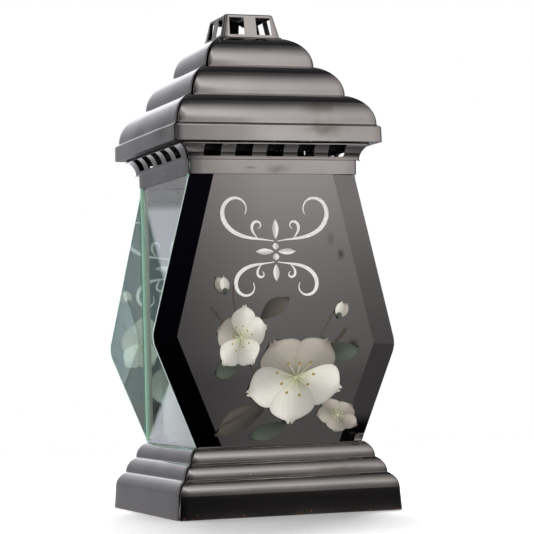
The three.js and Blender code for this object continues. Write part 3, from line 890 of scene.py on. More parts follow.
def clear_glass():
    """Float glass: clear, faintly green in its depth. It lets lamp light through without a hard shadow."""
    material, tree, place = new_material("clear_float_glass")
    film = add_node(tree, "TexNoise", {"Vector": place, "Scale": 1 / (film_grain * mm), "Detail": 2})
    tint = add_node(tree, "MixRGB", {"Fac": film, "Color1": linear("#fefefe"), "Color2": white})
    glass = add_node(
        tree,
        "BsdfPrincipled",
        {"Base Color": tint, "Roughness": 0, "IOR": glass_ior, "Transmission Weight": 1},
    )
    passing = add_node(tree, "BsdfTransparent", {"Color": linear("#eef6f3")})
    path = add_node(tree, "LightPath").outputs
    lit = add_node(tree, "Math", {0: path["Is Shadow Ray"], 1: path["Is Diffuse Ray"]}, operation="MAXIMUM")
    both = add_node(tree, "MixShader", {0: lit, 1: glass, 2: passing})
    add_node(tree, "OutputMaterial", {"Surface": both})
    return material


clear = clear_glass()
# The panes' ground rims glow green with the same painted light.
pane_rim = mottled_material("ground_pane_edge", ground_grain, 3, "#769a88", "#90b1a1", ground, rim_painted_glow)
for name in ("right_pane", "left_pane"):
    low, high = node_box(name)
    pane_ring = np.array([[low[1], low[2]], [high[1], low[2]], [high[1], high[2]], [low[1], high[2]]])
    arris_ring = np.array([[-1, -1], [1, -1], [1, 1], [-1, 1]]) * arris
    pane_points, pane_bands, pane_first, pane_last = ringed_plate([
        (pane_ring - arris_ring, low[0]),
        (pane_ring, low[0] + arris),
        (pane_ring, high[0] - arris),
        (pane_ring - arris_ring, high[0]),
    ])
    pane_points = pane_points[:, [1, 0, 2]]
    make_piece(
        f"{name}_glass",
        [(pane_points, [pane_first[::-1], pane_last], 0), (pane_points, np.concatenate(pane_bands), 1)],
        [clear, pane_rim],
        "lantern_body",
        [name],
        crease=pane_crease,
    )

# Print
# Ceramic ink fired on the face of the front glass: a blossoming twig in cream and grey-green, and a white
# flourish above it. Its back shows through the glass inside, the other way round.
ink_lift = 0.05
ink_layer = 0.008
ink_grain = 2
ink_strength = 0.86
flourish_steps = 120
leaf_rows = 34
leaf_columns = 25
tip_inset = 0.03
edge_curl = 0.1
tip_notch = 0.07
notch_width = 0.22
fold_light = 0.27
fold_sharpness = 2.2
vein_waves = 26
vein_drift = 3
edge_shade = 0.35
petal_fullness = 0.75
vein_fade = 0.6
edge_falloff = 6
pen_swell = 1.5


def rotated(across, up, angle):
    """Points of a flat drawing turned by an angle about its origin."""
    return across * math.cos(angle) - up * math.sin(angle), across * math.sin(angle) + up * math.cos(angle)


def blend_tints(stops, share):
    """Linear colours between hex colours at their places from 0 to 1, for an array of shares."""
    places = [place for place, _ in stops]
    colours = np.array([linear(colour) for _, colour in stops])
    return np.stack([np.interp(share, places, colours[:, channel]) for channel in range(4)], -1)


def leaf_shape(root, heading, length, width, pinch, stops, light_side, veins, curve=0.0):
    """A petal or leaf as a grid: rows run from its root to its tip, columns across it. Its width follows a
    sine that the pinch moves towards the root, and its midline bends by the curve. The colour runs from root
    to tip, is lighter on one side of the fold along the middle, and darker in the veins."""
    along = np.linspace(0, 1, leaf_rows)[:, None]
    side = np.linspace(-1, 1, leaf_columns)[None, :]
    spread_out = np.sin(math.pi * (tip_inset + (1 - 2 * tip_inset) * along) ** pinch) ** petal_fullness
    across = width * side * spread_out + curve * length * along**2
    notch = tip_notch * along**4 * np.exp(-((side / notch_width) ** 2))
    up = length * along * (1 - edge_curl * along**2 * side**2 - notch)
    angle = math.radians(heading) - math.pi / 2
    x, z = rotated(across, up, angle)
    fold = 1 + fold_light * np.tanh(light_side * side * fold_sharpness)
    vein = 0.5 + 0.5 * np.cos(side * vein_waves + along * vein_drift)
    veined = 1 - veins * vein * (1 - along) ** vein_fade
    rimmed = 1 - edge_shade * np.abs(side) ** edge_falloff * along
    shading = fold * veined * rimmed
    tint = blend_tints(stops, np.broadcast_to(along, x.shape)) * shading[..., None] * ink_strength
    tint[..., 3] = 1
    return x + root[0], z + root[1], np.clip(tint, 0, 1)


def stroke(start, heading, length, bends, widths, colour):
    """A pen stroke as a strip: it leaves its start at a heading, its bend in turns over its length runs
    evenly from the first to the second, and its width swells and thins like a pen's."""
    share = np.linspace(0, 1, flourish_steps)
    bend_now = bends[0] + (bends[1] - bends[0]) * share
    turn_now = math.radians(heading) + 2 * math.pi * np.cumsum(bend_now) / flourish_steps
    x = start[0] + np.cumsum(np.cos(turn_now)) * length / flourish_steps
    z = start[1] + np.cumsum(np.sin(turn_now)) * length / flourish_steps
    half = (widths[0] + (widths[1] - widths[0]) * np.sin(math.pi * share) ** pen_swell) / 2
    side = np.array([-1, 0, 1])[None, :]
    x = x[:, None] + np.sin(turn_now)[:, None] * half[:, None] * side
    z = z[:, None] - np.cos(turn_now)[:, None] * half[:, None] * side
    tint = np.broadcast_to(np.array(linear(colour)), x.shape + (4,)).copy()
    return x, z, tint


cream = [(0, "#8f9a63"), (0.12, "#c9c9a6"), (0.3, "#e6e2d4"), (0.8, "#f1eee4"), (1, "#cfc8ba")]
shade_cream = [(0, "#666b4c"), (0.15, "#98937f"), (0.4, "#b3ab9d"), (0.8, "#bdb4a8"), (1, "#7d7269")]
dusk = [(0, "#3a3833"), (0.3, "#554f47"), (0.8, "#645c53"), (1, "#4a453f")]
green = [(0, "#383d36"), (0.3, "#4b5448"), (0.8, "#5b6557"), (1, "#3d433b")]
pollen = [(0, "#c9b04a"), (1, "#8d7426")]
petals = 5
petal_width = 0.44
petal_pinch = 1.35
petal_veins = 0.1
far_side = 0.4
threads = 9
thread_start = 20
thread_turn = 41
thread_reach = 0.26
thread_spread = 0.05
thread_bends = (0.02, 0.05)
thread_widths = (0.28, 0.4)
head_length = 0.07
head_width = 0.03
head_lean = 8
ink = []


def blossom(middle, size, tilt, squash, spin, far_stops, near_stops):
    """Five petals round a middle, drawn as a disc seen at a slant: squashed across its tilt. The petals that
    turn away are greyer, and thin threads with yellow heads stand in the middle."""
    headings = [spin + 360 / petals * petal for petal in range(petals)]
    facing = [math.sin(math.radians(heading - tilt)) for heading in headings]
    flattened = []
    for petal in sorted(range(petals), key=lambda petal: -facing[petal]):
        stops = far_stops if facing[petal] > far_side else near_stops
        form = (size, size * petal_width, petal_pinch, stops, 1 if petal % 2 else -1, petal_veins)
        flattened.append(leaf_shape((0, 0), headings[petal], *form))
    for thread in range(threads):
        heading = spin + thread_start + thread_turn * thread
        reach = size * (thread_reach + thread_spread * (thread % 3))
        flattened.append(stroke((0, 0), heading, reach, thread_bends, thread_widths, "#e2dfb8"))
        lean = math.radians(heading + head_lean)
        tip = (reach * math.cos(lean), reach * math.sin(lean))
        flattened.append(leaf_shape(tip, heading, size * head_length, size * head_width, 1, pollen, 1, 0))
    for x, z, tint in flattened:
        across, up = rotated(x, z, -math.radians(tilt))
        x, z = rotated(across, up * squash, math.radians(tilt))
        ink.append((x + middle[0], z + middle[1], tint))


white_ink = "#f1efec"
white_leaf = [(0, white_ink), (1, white_ink)]
for hand in (1, -1):
    for start, heading, length, bends, widths in (
        ((0.8, 187), 14, 78, (-0.3, 1.9), (0.6, 3.1)),
        ((0.8, 173), -14, 60, (0.3, -1.9), (0.6, 2.8)),
        ((12, 188), 52, 24, (-0.2, 1.9), (0.4, 2.0)),
        ((10, 172), -52, 18, (0.2, -1.9), (0.4, 1.8)),
    ):
        x, z, tint = stroke(start, heading, length, bends, widths, white_ink)
        ink.append((x * hand, z, tint) if hand == 1 else (x[:, ::-1] * hand, z[:, ::-1], tint))
    ink.append(leaf_shape((2 * hand, 180), 90 - 90 * hand, 13, 2.1, 1, white_leaf, 1, 0))
for up, heading, length in ((189, 90, 14), (186, 270, 5), (174, 90, 5), (171, 270, 12)):
    ink.append(leaf_shape((0, up), heading, length, 2.3, 1, white_leaf, 1, 0))
# Each list gives the arguments of the function that draws it, with places in millimetres across from
# the middle and up from the ground, and headings in degrees.
leaves = [
    ((-12, 72), 196, 40, 8, 1.1, dusk, 1, 0.1, -0.16),
    ((4, 62), 205, 30, 5.5, 1.1, green, -1, 0.12, 0.1),
    ((34, 104), 30, 28, 7, 1.1, green, 1, 0.12, 0.2),
    ((-28, 104), 196, 21, 6.5, 1.1, green, -1, 0.12, -0.12),
    ((-12, 134), 40, 26, 6, 1.1, dusk, 1, 0.1, 0.1),
]
stems = [
    ((-46, 60), 24, 118, (0.02, 0.13), (2.6, 1.9), "#4c443b"),
    ((-8, 76), 112, 78, (0.06, 0.03), (1.9, 1.2), "#50473d"),
    ((20, 84), 330, 36, (0.05, 0.12), (1.6, 1.1), "#4c443b"),
    ((-28, 134), 116, 24, (-0.1, -0.1), (1.2, 0.9), "#5a5045"),
    ((24, 108), 56, 36, (0.05, -0.05), (1.2, 0.9), "#5a5045"),
]
buds = [
    ((-38, 152), 118, 13, 4.2, 1, shade_cream, 1, 0.08),
    ((-37, 152), 100, 12, 3.4, 1, cream, -1, 0.08),
    ((-37, 151), 108, 5, 2.2, 1, green, 1, 0.05),
    ((44, 134), 52, 13, 4.2, 1, shade_cream, 1, 0.08),
    ((44, 134), 70, 12, 3.4, 1, cream, -1, 0.08),
    ((44, 133), 60, 5, 2.2, 1, green, 1, 0.05),
]
blossoms = [
    ((-27, 121), 24, 66, 0.78, 14, shade_cream, cream),
    ((42, 66), 17, -20, 0.72, 40, shade_cream, shade_cream),
    ((12, 93), 39, 24, 0.8, 50, shade_cream, cream),
]
ink += [leaf_shape(*leaf) for leaf in leaves] + [stroke(*stem) for stem in stems]
for bloom in blossoms:
    blossom(*bloom)
ink += [leaf_shape(*bud) for bud in buds]


def ink_sheet(face, outward):
    """Every stroke and petal laid on a face, each a hair above the one before."""
    parts = []
    for number, (x, z, _) in enumerate(ink):
        y = np.full(x.shape, face + outward * (ink_lift + number * ink_layer))
        points = np.stack([x, y, z], 2).reshape(-1, 3)
        index = np.arange(x.size).reshape(x.shape)
        cells = np.stack([index[:-1, :-1], index[:-1, 1:], index[1:, 1:], index[1:, :-1]], -1).reshape(-1, 4)
        parts.append((points, cells if outward < 0 else cells[:, ::-1]))
    return parts


def ceramic_ink():
    """Ceramic ink fired into the glass: opaque, satin, its colours as printed, with a fine dotted grain."""
    material, tree, place = new_material("ceramic_ink")
    printed = add_node(tree, "Attribute", attribute_name="tint").outputs["Color"]
    grain = add_node(tree, "TexNoise", {"Vector": place, "Scale": 1 / (ink_grain * mm), "Detail": 2})
    shade = add_node(tree, "MixRGB", {"Fac": grain, "Color1": linear("#eeeeee"), "Color2": white})
    tinted = add_node(tree, "MixRGB", {"Fac": 1, "Color1": printed, "Color2": shade}, blend_type="MULTIPLY")
    surface = add_node(tree, "BsdfPrincipled", {"Base Color": tinted, "Roughness": 0.4})
    add_node(tree, "OutputMaterial", {"Surface": surface})
    return material


fired_ink = ceramic_ink()
tints = [tint.reshape(-1, 4) for _, _, tint in ink]
for name, face, outward in (("print_face", -glass_face, -1), ("print_back", -glass_back, 1)):
    make_piece(
        name,
        ink_sheet(face, outward),
        [fired_ink],
        "lantern_body",
        whole=False,
        tints=tints,
    )

# Glass clips
# Two small tabs of the same steel that stand on the plinth beside a panel's lower corner and curl outwards.
# The ends of each tab droop a little.
clip_gap = 0.9
clip_play = 0.05
clip_sheet = 0.588
clip_flat = 1.6
clip_end = 1.2
clip_droop = 0.12
clip_radius = 0.1
clip_rows = 12
clip_columns = 9
clip_face = glass_face + clip_gap
for name, facing in (("glass_clip_front", -1), ("glass_clip_rear", 1)):
    low, high = node_box(name)
    rise = high[2] - low[2] - clip_play
    curl = arc((clip_face + rise, low[2]), rise, math.pi, math.pi / 2, clip_rows)
    thick = offset_path(curl, np.full(len(curl), clip_sheet))
    along = np.linspace(low[0] + clip_play, high[0] - clip_play, clip_columns)
    to_end = ((np.abs(along - along.mean()) - clip_flat) / clip_end).clip(0, 1)
    rounding = 1 - to_end**2 * clip_droop
    grids = []
    for line in (curl, thick):
        reach = clip_face + (line[:, :1] - clip_face) * rounding
        grids.append(np.stack(np.broadcast_arrays(along[None, :], facing * reach, line[:, 1:]), 2))
    tab = make_piece(
        name + "_tab",
        [thick_sheet(*grids)],
        [plinth_steel, inner_lacquer_and_painted_shade],
        "lantern_body",
        [name],
    )
    soften_edges(tab, clip_radius)

# Corner seals
# A bead of neutral-cured silicone in each inner corner where a panel meets a pane, drawn smooth with a
# finger, and a thin line of it that squeezed out at each outer corner.
seal_play = 0.3
seal_wave = 0.12
seal_waves = (0.9, 0.37)
seal_rows = 60
seal_steps = 10
squeezed_width = 1.1
squeezed_gap = 0.03
squeezed_waver = 0.1
waver_waves = (0.31, 0.17)
squeezed_steps = 8
squeezed_rows = 90
bead_crease = 50
silicone_grain = 11.111


def ring_walls(grid):
    """The faces between the rows of a grid that closes on itself sideways, and the index of its points."""
    index = np.arange(grid[..., 0].size).reshape(grid.shape[:2])
    after = np.roll(index, -1, axis=1)
    return np.stack([index[:-1], after[:-1], after[1:], index[1:]], -1).reshape(-1, 4), index


def upright_bar(plans, heights):
    """A closed bar from its cross sections of (x, y), one at each height."""
    grid = np.concatenate([plans, np.broadcast_to(heights[:, None, None], plans.shape[:2] + (1,))], 2)
    walls, index = ring_walls(grid)
    return grid.reshape(-1, 3), [*walls, index[0], index[-1]]


# The silicone is cream, soft-looking and a little translucent, with the slow waves that a finger leaves. The
# squeezed line joins the glass rims and takes their green finish, with the painted glow that stands in
# for the light they gather.
silicone = mottled_material(
    "cured_silicone",
    silicone_grain,
    2,
    "#d6d8ca",
    "#e6e5d9",
    {"Roughness": 0.3, "Transmission Weight": 0.15},
)
for corner, hands in {
    "rear_right": (1, 1), "rear_left": (-1, 1), "front_left": (-1, -1), "front_right": (1, -1)
}.items():
    low, high = node_box(f"corner_seal_{corner}")
    leg = high[0] - low[0]
    edge = glass_back - seal_play
    sweep = np.linspace(0, math.pi / 2, seal_steps)
    hollow = np.stack([edge - leg + leg * np.sin(sweep), edge - leg + leg * np.cos(sweep)], 1)
    hollow = np.vstack([hollow, [[edge, edge]]])
    heights = np.linspace(low[2], high[2], seal_rows)
    pull = seal_wave * np.sin(heights * seal_waves[0]) * np.sin(heights * seal_waves[1])
    free = np.ones(len(hollow))
    free[[0, -2, -1]] = 0
    plans = hollow[None] - (pull[:, None] * free[None, :])[..., None] / math.sqrt(2)
    make_piece(
        f"silicone_bead_{corner}",
        [upright_bar(plans * np.array(hands), heights)],
        [silicone],
        "lantern_body",
        [f"corner_seal_{corner}"],
        crease=bead_crease,
    )
    heights = np.linspace(plinth_top + squeezed_width, neck_bottom - squeezed_gap, squeezed_rows)
    swell = np.linspace(0, math.pi / 2, squeezed_steps)
    quarter = np.vstack([np.stack([np.cos(swell), -np.sin(swell)], 1), [[0, 0]]])
    waver = squeezed_waver * np.sin(heights * waver_waves[0]) * np.sin(heights * waver_waves[1])
    leg_now = squeezed_width * (1 + waver)
    foot = np.array([glass_face + squeezed_gap, glass_back - squeezed_gap])
    plans = foot + leg_now[:, None, None] * quarter
    # The squeezed line glows green with the rims' painted light.
    make_piece(
        f"squeezed_bead_{corner}",
        [upright_bar(plans * np.array(hands), heights)],
        [pane_rim],
        "lantern_body",
        crease=bead_crease,
    )

# Inner fittings
# The pressed floor tray, the refill holder, the keeper behind the glass heads and the collar under the lid
# keep the imported model's shape. The tray, holder and keeper are bare tinplate; the collar under the lid is
# given the dull black of the steel's inner side, painted shade that keeps the chimney's windows dark.
spangle_size = 5.556
bright_haze = 0.25
milky_haze = 0.4


def tinplate():
    """Tinned sheet steel: bright grey, a little milky, with the fine spangle of the tin."""
    material, tree, place = new_material("tinplate")
    cells = add_node(tree, "TexVoronoi", {"Vector": place, "Scale": 1 / (spangle_size * mm)})
    spangle = cells.outputs["Distance"]
    shade = add_node(
        tree, "MixRGB", {"Fac": spangle, "Color1": linear("#8b8a88"), "Color2": linear("#a5a4a1")}
    )
    haze = add_node(tree, "MapRange", {"Value": spangle, "To Min": bright_haze, "To Max": milky_haze})
    surface = add_node(tree, "BsdfPrincipled", {"Base Color": shade, "Metallic": 1, "Roughness": haze})
    add_node(tree, "OutputMaterial", {"Surface": surface})
    return material


def plate_node(name, finish):
    """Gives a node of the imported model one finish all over."""
    materials = bpy.data.objects[name].data.materials
    materials.clear()
    materials.append(finish)


tin = tinplate()
for name in ("floor_tray", "refill_holder", "glass_keeper"):
    plate_node(name, tin)
# The collar's black is painted shade for the dark seen through the chimney's windows.
plate_node("lid_collar", inner_lacquer_and_painted_shade)

# Refill cup
# A thin cup of milky polypropylene, blow-moulded with shallow ribs, its foot hollow and its lip rounded. It
# stands in the holder and carries the candle.
cup_wall = 0.9
foot_round = 2.4
foot_ring = 1
foot_hollow = 0.5
hollow_share = 0.7
lip_round = 0.4
wall_rows = 30
wall_rise = 2
inner_round = 2
inner_rise = 4
rib_depth = 0.18
rib_count = 24
rib_foot = 6
rib_foot_fade = 8
rib_head = 12
rib_head_fade = 6
flow_grain = 33.333
round_steps = 96
foot_steps = 8
lip_steps = 6
cup_crease = 50
cup_low, cup_high = node_box("refill_cup")
cup_radius, cup_foot, cup_rim = cup_high[0], cup_low[2], cup_high[2]


def lathe(profile, steps, ripple=None):
    """A profile of (radius, height) turned about the upright axis. A ripple is a function of the angle and
    the height that moves the radius out and in. Ends on the axis close to a pole."""
    angle = np.linspace(0, 2 * math.pi, steps, endpoint=False)[None, :]
    radius = np.broadcast_to(profile[:, :1], (len(profile), steps))
    height = np.broadcast_to(profile[:, 1:], radius.shape)
    if ripple is not None:
        radius = radius + ripple(angle, height)
    points = np.stack([radius * np.cos(angle), radius * np.sin(angle), height], 2)
    return points.reshape(-1, 3), ring_walls(points)[0]


def straight(radius, start, stop, steps):
    """Points at one radius, in equal steps from one height to another."""
    return np.stack([np.full(steps, radius), np.linspace(start, stop, steps)], 1)


def cup_ribs(angle, height):
    """Shallow upright ribs round the cup that fade out at its foot and under its rim."""
    from_foot = np.clip((height - cup_foot - rib_foot) / rib_foot_fade, 0, 1)
    from_rim = np.clip((cup_rim - rib_head - height) / rib_head_fade, 0, 1)
    return -rib_depth * from_foot * from_rim * (0.5 - 0.5 * np.cos(rib_count * angle))


inside_radius = cup_radius - cup_wall
cup_profile = np.vstack([
    [[0, cup_foot + foot_hollow], [cup_radius * hollow_share, cup_foot + foot_hollow]],
    [[cup_radius - foot_round - foot_ring, cup_foot]],
    arc((cup_radius - foot_round, cup_foot + foot_round), foot_round, -math.pi / 2, 0, foot_steps),
    straight(cup_radius, cup_foot + foot_round + wall_rise, cup_rim - lip_round, wall_rows),
    arc((cup_radius - cup_wall / 2, cup_rim - lip_round), lip_round, 0, math.pi, lip_steps),
    straight(inside_radius, cup_rim - lip_round, cup_foot + inner_rise, wall_rows),
    arc(
        (inside_radius - inner_round, cup_foot + cup_wall + inner_round),
        inner_round, 0, -math.pi / 2, lip_steps,
    ),
    [[0, cup_foot + cup_wall]],
])
# The plastic is smoke-grey, waxy and a little translucent, with faint flow clouding.
milky_plastic = mottled_material("milky_polypropylene", flow_grain, 2, "#aaa69d", "#b6b2a9", {
    "Roughness": 0.35,
    "Subsurface Weight": 0.3,
    "Subsurface Scale": 0.004,
    "Subsurface Radius": (1.0, 0.9, 0.8),
})
make_piece(
    "cup_milky",
    [lathe(cup_profile, round_steps, cup_ribs)],
    [milky_plastic],
    "refill",
    ["refill_cup"],
    crease=cup_crease,
)

# Wax and wick
# Cast paraffin with a raised edge where it cooled against the cup's wall and a low hill at the wick, and a
# twisted cotton wick soaked in wax, held by a tin foot.
wick_radius = 1.1
wick_play = 0.3
wax_edge = 0.9
wax_hill = 0.5
wax_shoulder = 1
wax_dip = 0.6
wax_rings = 24
hill_steepness = 12
edge_steepness = 8
frost_grain = 14.286
wick_rows = 90
wick_steps = 24
wick_crease = 60
wick_tip = 0.3
strand_share = 0.92
tip_share = 0.6
strands = 3
strand_swell = 0.08
twist_length = 5
braid_size = 2.5
wax_low, wax_high = node_box("refill_wax")
wick_low, wick_high = node_box("wick")


def waxed_cotton():
    """Twisted cotton soaked in wax: off-white, matt, with the fine ridges of its threads."""
    material, tree, place = new_material("waxed_cotton")
    threads = {"Vector": place, "Scale": 1 / (braid_size * mm), "Distortion": 2}
    braid = add_node(tree, "TexWave", threads, bands_direction="DIAGONAL")
    shade = add_node(
        tree, "MixRGB", {"Fac": braid, "Color1": linear("#cfc7b2"), "Color2": linear("#e6dfcd")}
    )
    surface = add_node(tree, "BsdfPrincipled", {"Base Color": shade, "Roughness": 0.8})
    add_node(tree, "OutputMaterial", {"Surface": surface})
    return material


def strand_twist(angle, height):
    """Three strands twisted round each other: the radius swells once per strand in a turn, and over each
    twist length every strand moves on to the place of the next."""
    swelling = np.sin(strands * angle + height * 2 * math.pi / twist_length)
    return strand_swell * swelling * (height < wick_high[2])


wax_reach, wax_bore = wax_high[0], wick_radius + wick_play
away = np.linspace(0, 1, wax_rings + 1)[:0:-1]
wax_surface = np.stack([
    wax_bore + (wax_reach - wax_bore) * away,
    wax_high[2] - wax_edge + wax_edge * away**edge_steepness + wax_hill * np.exp(-away * hill_steepness),
], 1)
wax_profile = np.vstack([
    [[wax_bore, wax_low[2]], [wax_reach, wax_low[2]], [wax_reach, wax_high[2] - wax_shoulder]],
    wax_surface,
    [[wax_bore, wax_high[2] - wax_dip], [wax_bore, wax_low[2]]],
])
wick_profile = np.vstack([
    [[0, wick_low[2]]],
    straight(wick_radius * strand_share, wick_low[2], wick_high[2] - wick_tip, wick_rows),
    [[wick_radius * tip_share, wick_high[2]], [0, wick_high[2]]],
])
# The wax is ivory, soft and translucent, with a few paler frost clouds on its skin.
paraffin = mottled_material("paraffin_wax", frost_grain, 4, "#e9dfc6", "#f4efe0", {
    "Roughness": 0.5,
    "Subsurface Weight": 0.5,
    "Subsurface Scale": 0.006,
    "Subsurface Radius": (1.0, 0.9, 0.8),
})
make_piece(
    "wax_fill",
    [lathe(wax_profile, round_steps)],
    [paraffin],
    "refill",
    ["refill_wax"],
    crease=cup_crease,
)
make_piece(
    "wick_cotton",
    [lathe(wick_profile, wick_steps, strand_twist)],
    [waxed_cotton()],
    "refill",
    ["wick"],
    crease=wick_crease,
)
plate_node("wick_foot", tin)

# Foil cap
# Thin aluminium foil with a pale gold lacquer, pressed over the cup's rim. Its skirt is crimped, and a step
# runs round the opening over the wax.
cap_opening = 17
foil_sheet = 0.3
foil_round = 1
foil_rows = 6
foil_step = 0.25
step_start = 2.5
step_end = 1.6
sheet_drawn = 0.8
under_step = foil_step + foil_sheet * sheet_drawn
under_head = 0.45
under_round = 1.2
crimp_depth = 0.16
crimps = 60
crimp_start = 1.5
crumple_size = 3.846
crumple_depth = 0.5
foil_steps = 360
foil_crease = 60
foil_low, foil_high = node_box("refill_cap")
foil_outer, foil_bottom, foil_top = foil_high[0], foil_low[2], foil_high[2]


def gilt_foil():
    """Pressed aluminium foil with a pale gold lacquer, crumpled a little so its gleam breaks up."""
    material, tree, place = new_material("gilt_foil")
    crumple = add_node(tree, "TexNoise", {"Vector": place, "Scale": 1 / (crumple_size * mm), "Detail": 2})
    bump = add_node(tree, "Bump", {"Height": crumple, "Strength": 0.25, "Distance": crumple_depth * mm})
    surface = add_node(
        tree,
        "BsdfPrincipled",
        {"Base Color": linear("#d9c89a"), "Metallic": 1, "Roughness": 0.3, "Normal": bump},
    )
    add_node(tree, "OutputMaterial", {"Surface": surface})
    return material


def crimp(angle, height):
    """Fine upright crimps on the foil's skirt, deepest at its lower edge."""
    depth = np.clip((foil_top - crimp_start - height) / (foil_top - foil_bottom - crimp_start), 0, 1)
    return -crimp_depth * depth * (0.5 + 0.5 * np.cos(crimps * angle))


foil_profile = np.vstack([
    straight(foil_outer, foil_bottom, foil_top - foil_round, foil_rows),
    arc((foil_outer - foil_round, foil_top - foil_round), foil_round, 0, math.pi / 2, foil_rows),
    [[cap_opening + step_start, foil_top], [cap_opening + step_end, foil_top - foil_step]],
    [[cap_opening, foil_top - foil_step], [cap_opening, foil_top - under_step]],
    [[foil_outer - under_round, foil_top - under_head]],
    straight(foil_outer - foil_sheet, foil_top - under_round, foil_bottom, foil_rows),
    [[foil_outer, foil_bottom]],
])
make_piece(
    "foil_cap",
    [lathe(foil_profile, foil_steps, crimp)],
    [gilt_foil()],
    "refill",
    ["refill_cap"],
    crease=foil_crease,
)

# Floor and backdrop
# A wide pale floor that keeps the lantern's shadow and fades into the white of the room around it. Mirrors
# look past it into the room, which is darker below the horizon.
floor_half = 6000
fade_start = 450
fade_end = 1100
floor_lift = 0.16


def stage_sheet(name, corners, material):
    """A flat sheet of the studio's own, from its corners in millimetres."""
    mesh = bpy.data.meshes.new(name)
    mesh.from_pydata((np.array(corners) * mm).tolist(), [], [(0, 1, 2, 3)])
    mesh.materials.append(material)
    made = bpy.data.objects.new(name, mesh)
    scene.collection.objects.link(made)
    return made


floor_paint, tree, place = new_material("pale_floor")
path = add_node(tree, "LightPath").outputs
seen = add_node(
    tree, "Math", {0: path["Is Camera Ray"], 1: path["Is Transmission Ray"]}, operation="MAXIMUM"
)
own_light = add_node(tree, "Math", {0: seen, 1: floor_lift}, operation="MULTIPLY")
paint = add_node(
    tree,
    "BsdfPrincipled",
    {
        "Base Color": linear("#969696"),
        "Roughness": 0.9,
        "Emission Color": white,
        "Emission Strength": own_light,
        "Specular IOR Level": 0,
    },
)
shine = add_node(tree, "Emission", {"Color": white, "Strength": seen})
away = add_node(tree, "VectorMath", {0: place}, operation="LENGTH").outputs["Value"]
fade = add_node(
    tree,
    "MapRange",
    {"Value": away, "From Min": fade_start * mm, "From Max": fade_end * mm},
    interpolation_type="SMOOTHSTEP",
)
floor_shade = add_node(tree, "MixShader", {0: fade, 1: paint, 2: shine})
add_node(tree, "OutputMaterial", {"Surface": floor_shade})
floor_corners = np.array([[-1, -1, 0], [1, -1, 0], [1, 1, 0], [-1, 1, 0]]) * floor_half
floor = stage_sheet("floor", floor_corners, floor_paint)
floor.visible_glossy = False

# Filter film
# A graded film stands before the lantern as a studio flag does, so that the polished steel and glass darken
# towards the ground. Only mirrored light meets it.
film_grades = [
    (0, 0.01), (22, 0.01), (32, 0.24), (90, 0.26), (110, 0.37), (150, 0.47), (190, 0.63), (255, 1), (420, 1)
]
film_deep = -340
film_half = 500
film_top = film_grades[-1][0]
film_paint, tree, place = new_material("graded_film")
height = add_node(tree, "SeparateXYZ", {0: place}).outputs["Z"]
climb = add_node(tree, "MapRange", {"Value": height, "From Max": film_top * mm})
film_stops = [(up / film_top, (grey, grey, grey, 1)) for up, grey in film_grades]
grade = add_node(tree, "ValToRGB", {"Fac": climb}, stops=film_stops)
through = add_node(tree, "BsdfTransparent", {"Color": grade})
add_node(tree, "OutputMaterial", {"Surface": through})
film_corners = [
    (across * film_half, film_deep, up) for across, up in ((-1, 0), (1, 0), (1, film_top), (-1, film_top))
]
film = stage_sheet("front_film", film_corners, film_paint)
film.visible_camera = False
film.visible_diffuse = False
film.visible_transmission = False
film.visible_shadow = False

# Lamps
# Three broad soft lamps give the plain light: one high before the lantern, one behind it on the left that
# shines in through the pane, and one overhead, a little behind. The mirrors see the room instead of the
# lamps.
lamp_aim = np.array([0, 0, 170]) * mm
for name, place, size, power in (
    ("front_lamp", (700, -1900, 1500), 1200, 9),
    ("rear_lamp", (-1100, 1500, 1000), 1700, 48),
    ("top_lamp", (360, 1000, 1550), 1000, 165),
):
    lamp_data = bpy.data.lights.new(name, "AREA")
    lamp_data.size = size * mm
    lamp_data.energy = power
    lamp = bpy.data.objects.new(name, lamp_data)
    scene.collection.objects.link(lamp)
    stand = np.array(place) * mm
    facing = Vector(lamp_aim - stand).to_track_quat("-Z", "Y").to_matrix().to_4x4()
    lamp.matrix_world = Matrix.Translation(stand) @ facing
    lamp.visible_glossy = False
    lamp.visible_camera = False
    lamp.visible_transmission = False

# Studio room
# What the polished steel and glass mirror: a bright window band to the right of the camera, a bright opening
# far behind on the left and a pale screen beside it that only clear glass is smooth enough to mirror, dark
# corners between. The eye, and what is seen through glass, gets plain white instead.
# The four lists pair degrees, round the room or up from the horizon, with how bright it is there.
front_round = [
    (-100, 0), (-80, 0.2), (-40, 0.2), (-22, 0.2), (-18.5, 0.4), (-14, 0.4), (-10.5, 0.05), (-6, 0.01),
    (0, 0), (8, 0.005), (11, 0.1), (14, 0.35), (17, 0.45), (18.5, 0.75), (20, 1), (22.7, 0.8), (30, 0.6),
    (36, 0.5), (60, 0.35), (90, 0.3), (110, 0),
]
back_round = [
    (-90, 0), (-70, 0.25), (-20, 0.16), (-15, 0.215), (-11, 0.275), (-7, 0.375), (-2.5, 0.5), (0, 0.65),
    (2, 0.75), (8, 1), (20, 1), (40, 0.4), (70, 0.2), (90, 0),
]
front_up = [
    (-90, 0.25), (-20, 0.28), (-13, 0.68), (5.2, 0.66), (6.5, 0.74), (10, 0.76), (17, 0.69), (34, 0.88),
    (44, 0.93), (53, 0.84), (62, 0.62), (69, 0.29), (72, 0.18), (81, 0.11), (90, 0.08),
]
back_up = [
    (-90, 0.85), (-3, 0.95), (0, 0.9), (3, 0.87), (7, 1), (19, 1), (24, 0.5), (30, 0.2), (40, 0.1),
    (55, 0.08), (90, 0.08),
]
front_power = (1.4, 1.4, 1.4)
back_power = (1.35, 1.38, 1.47)
dusk_light = (0.003, 0.003, 0.009)
screen_light = (0.84, 0.86, 0.98)
screen_middle = -163.6
screen_half = 3.5
screen_foot = -2.7
screen_head = 4.3
side_fade = 0.5
foot_fade = 0.3
head_fade = 0.1
# A place past the whole round wraps to its start, and the whole round itself stays.
past_full = 1.0001


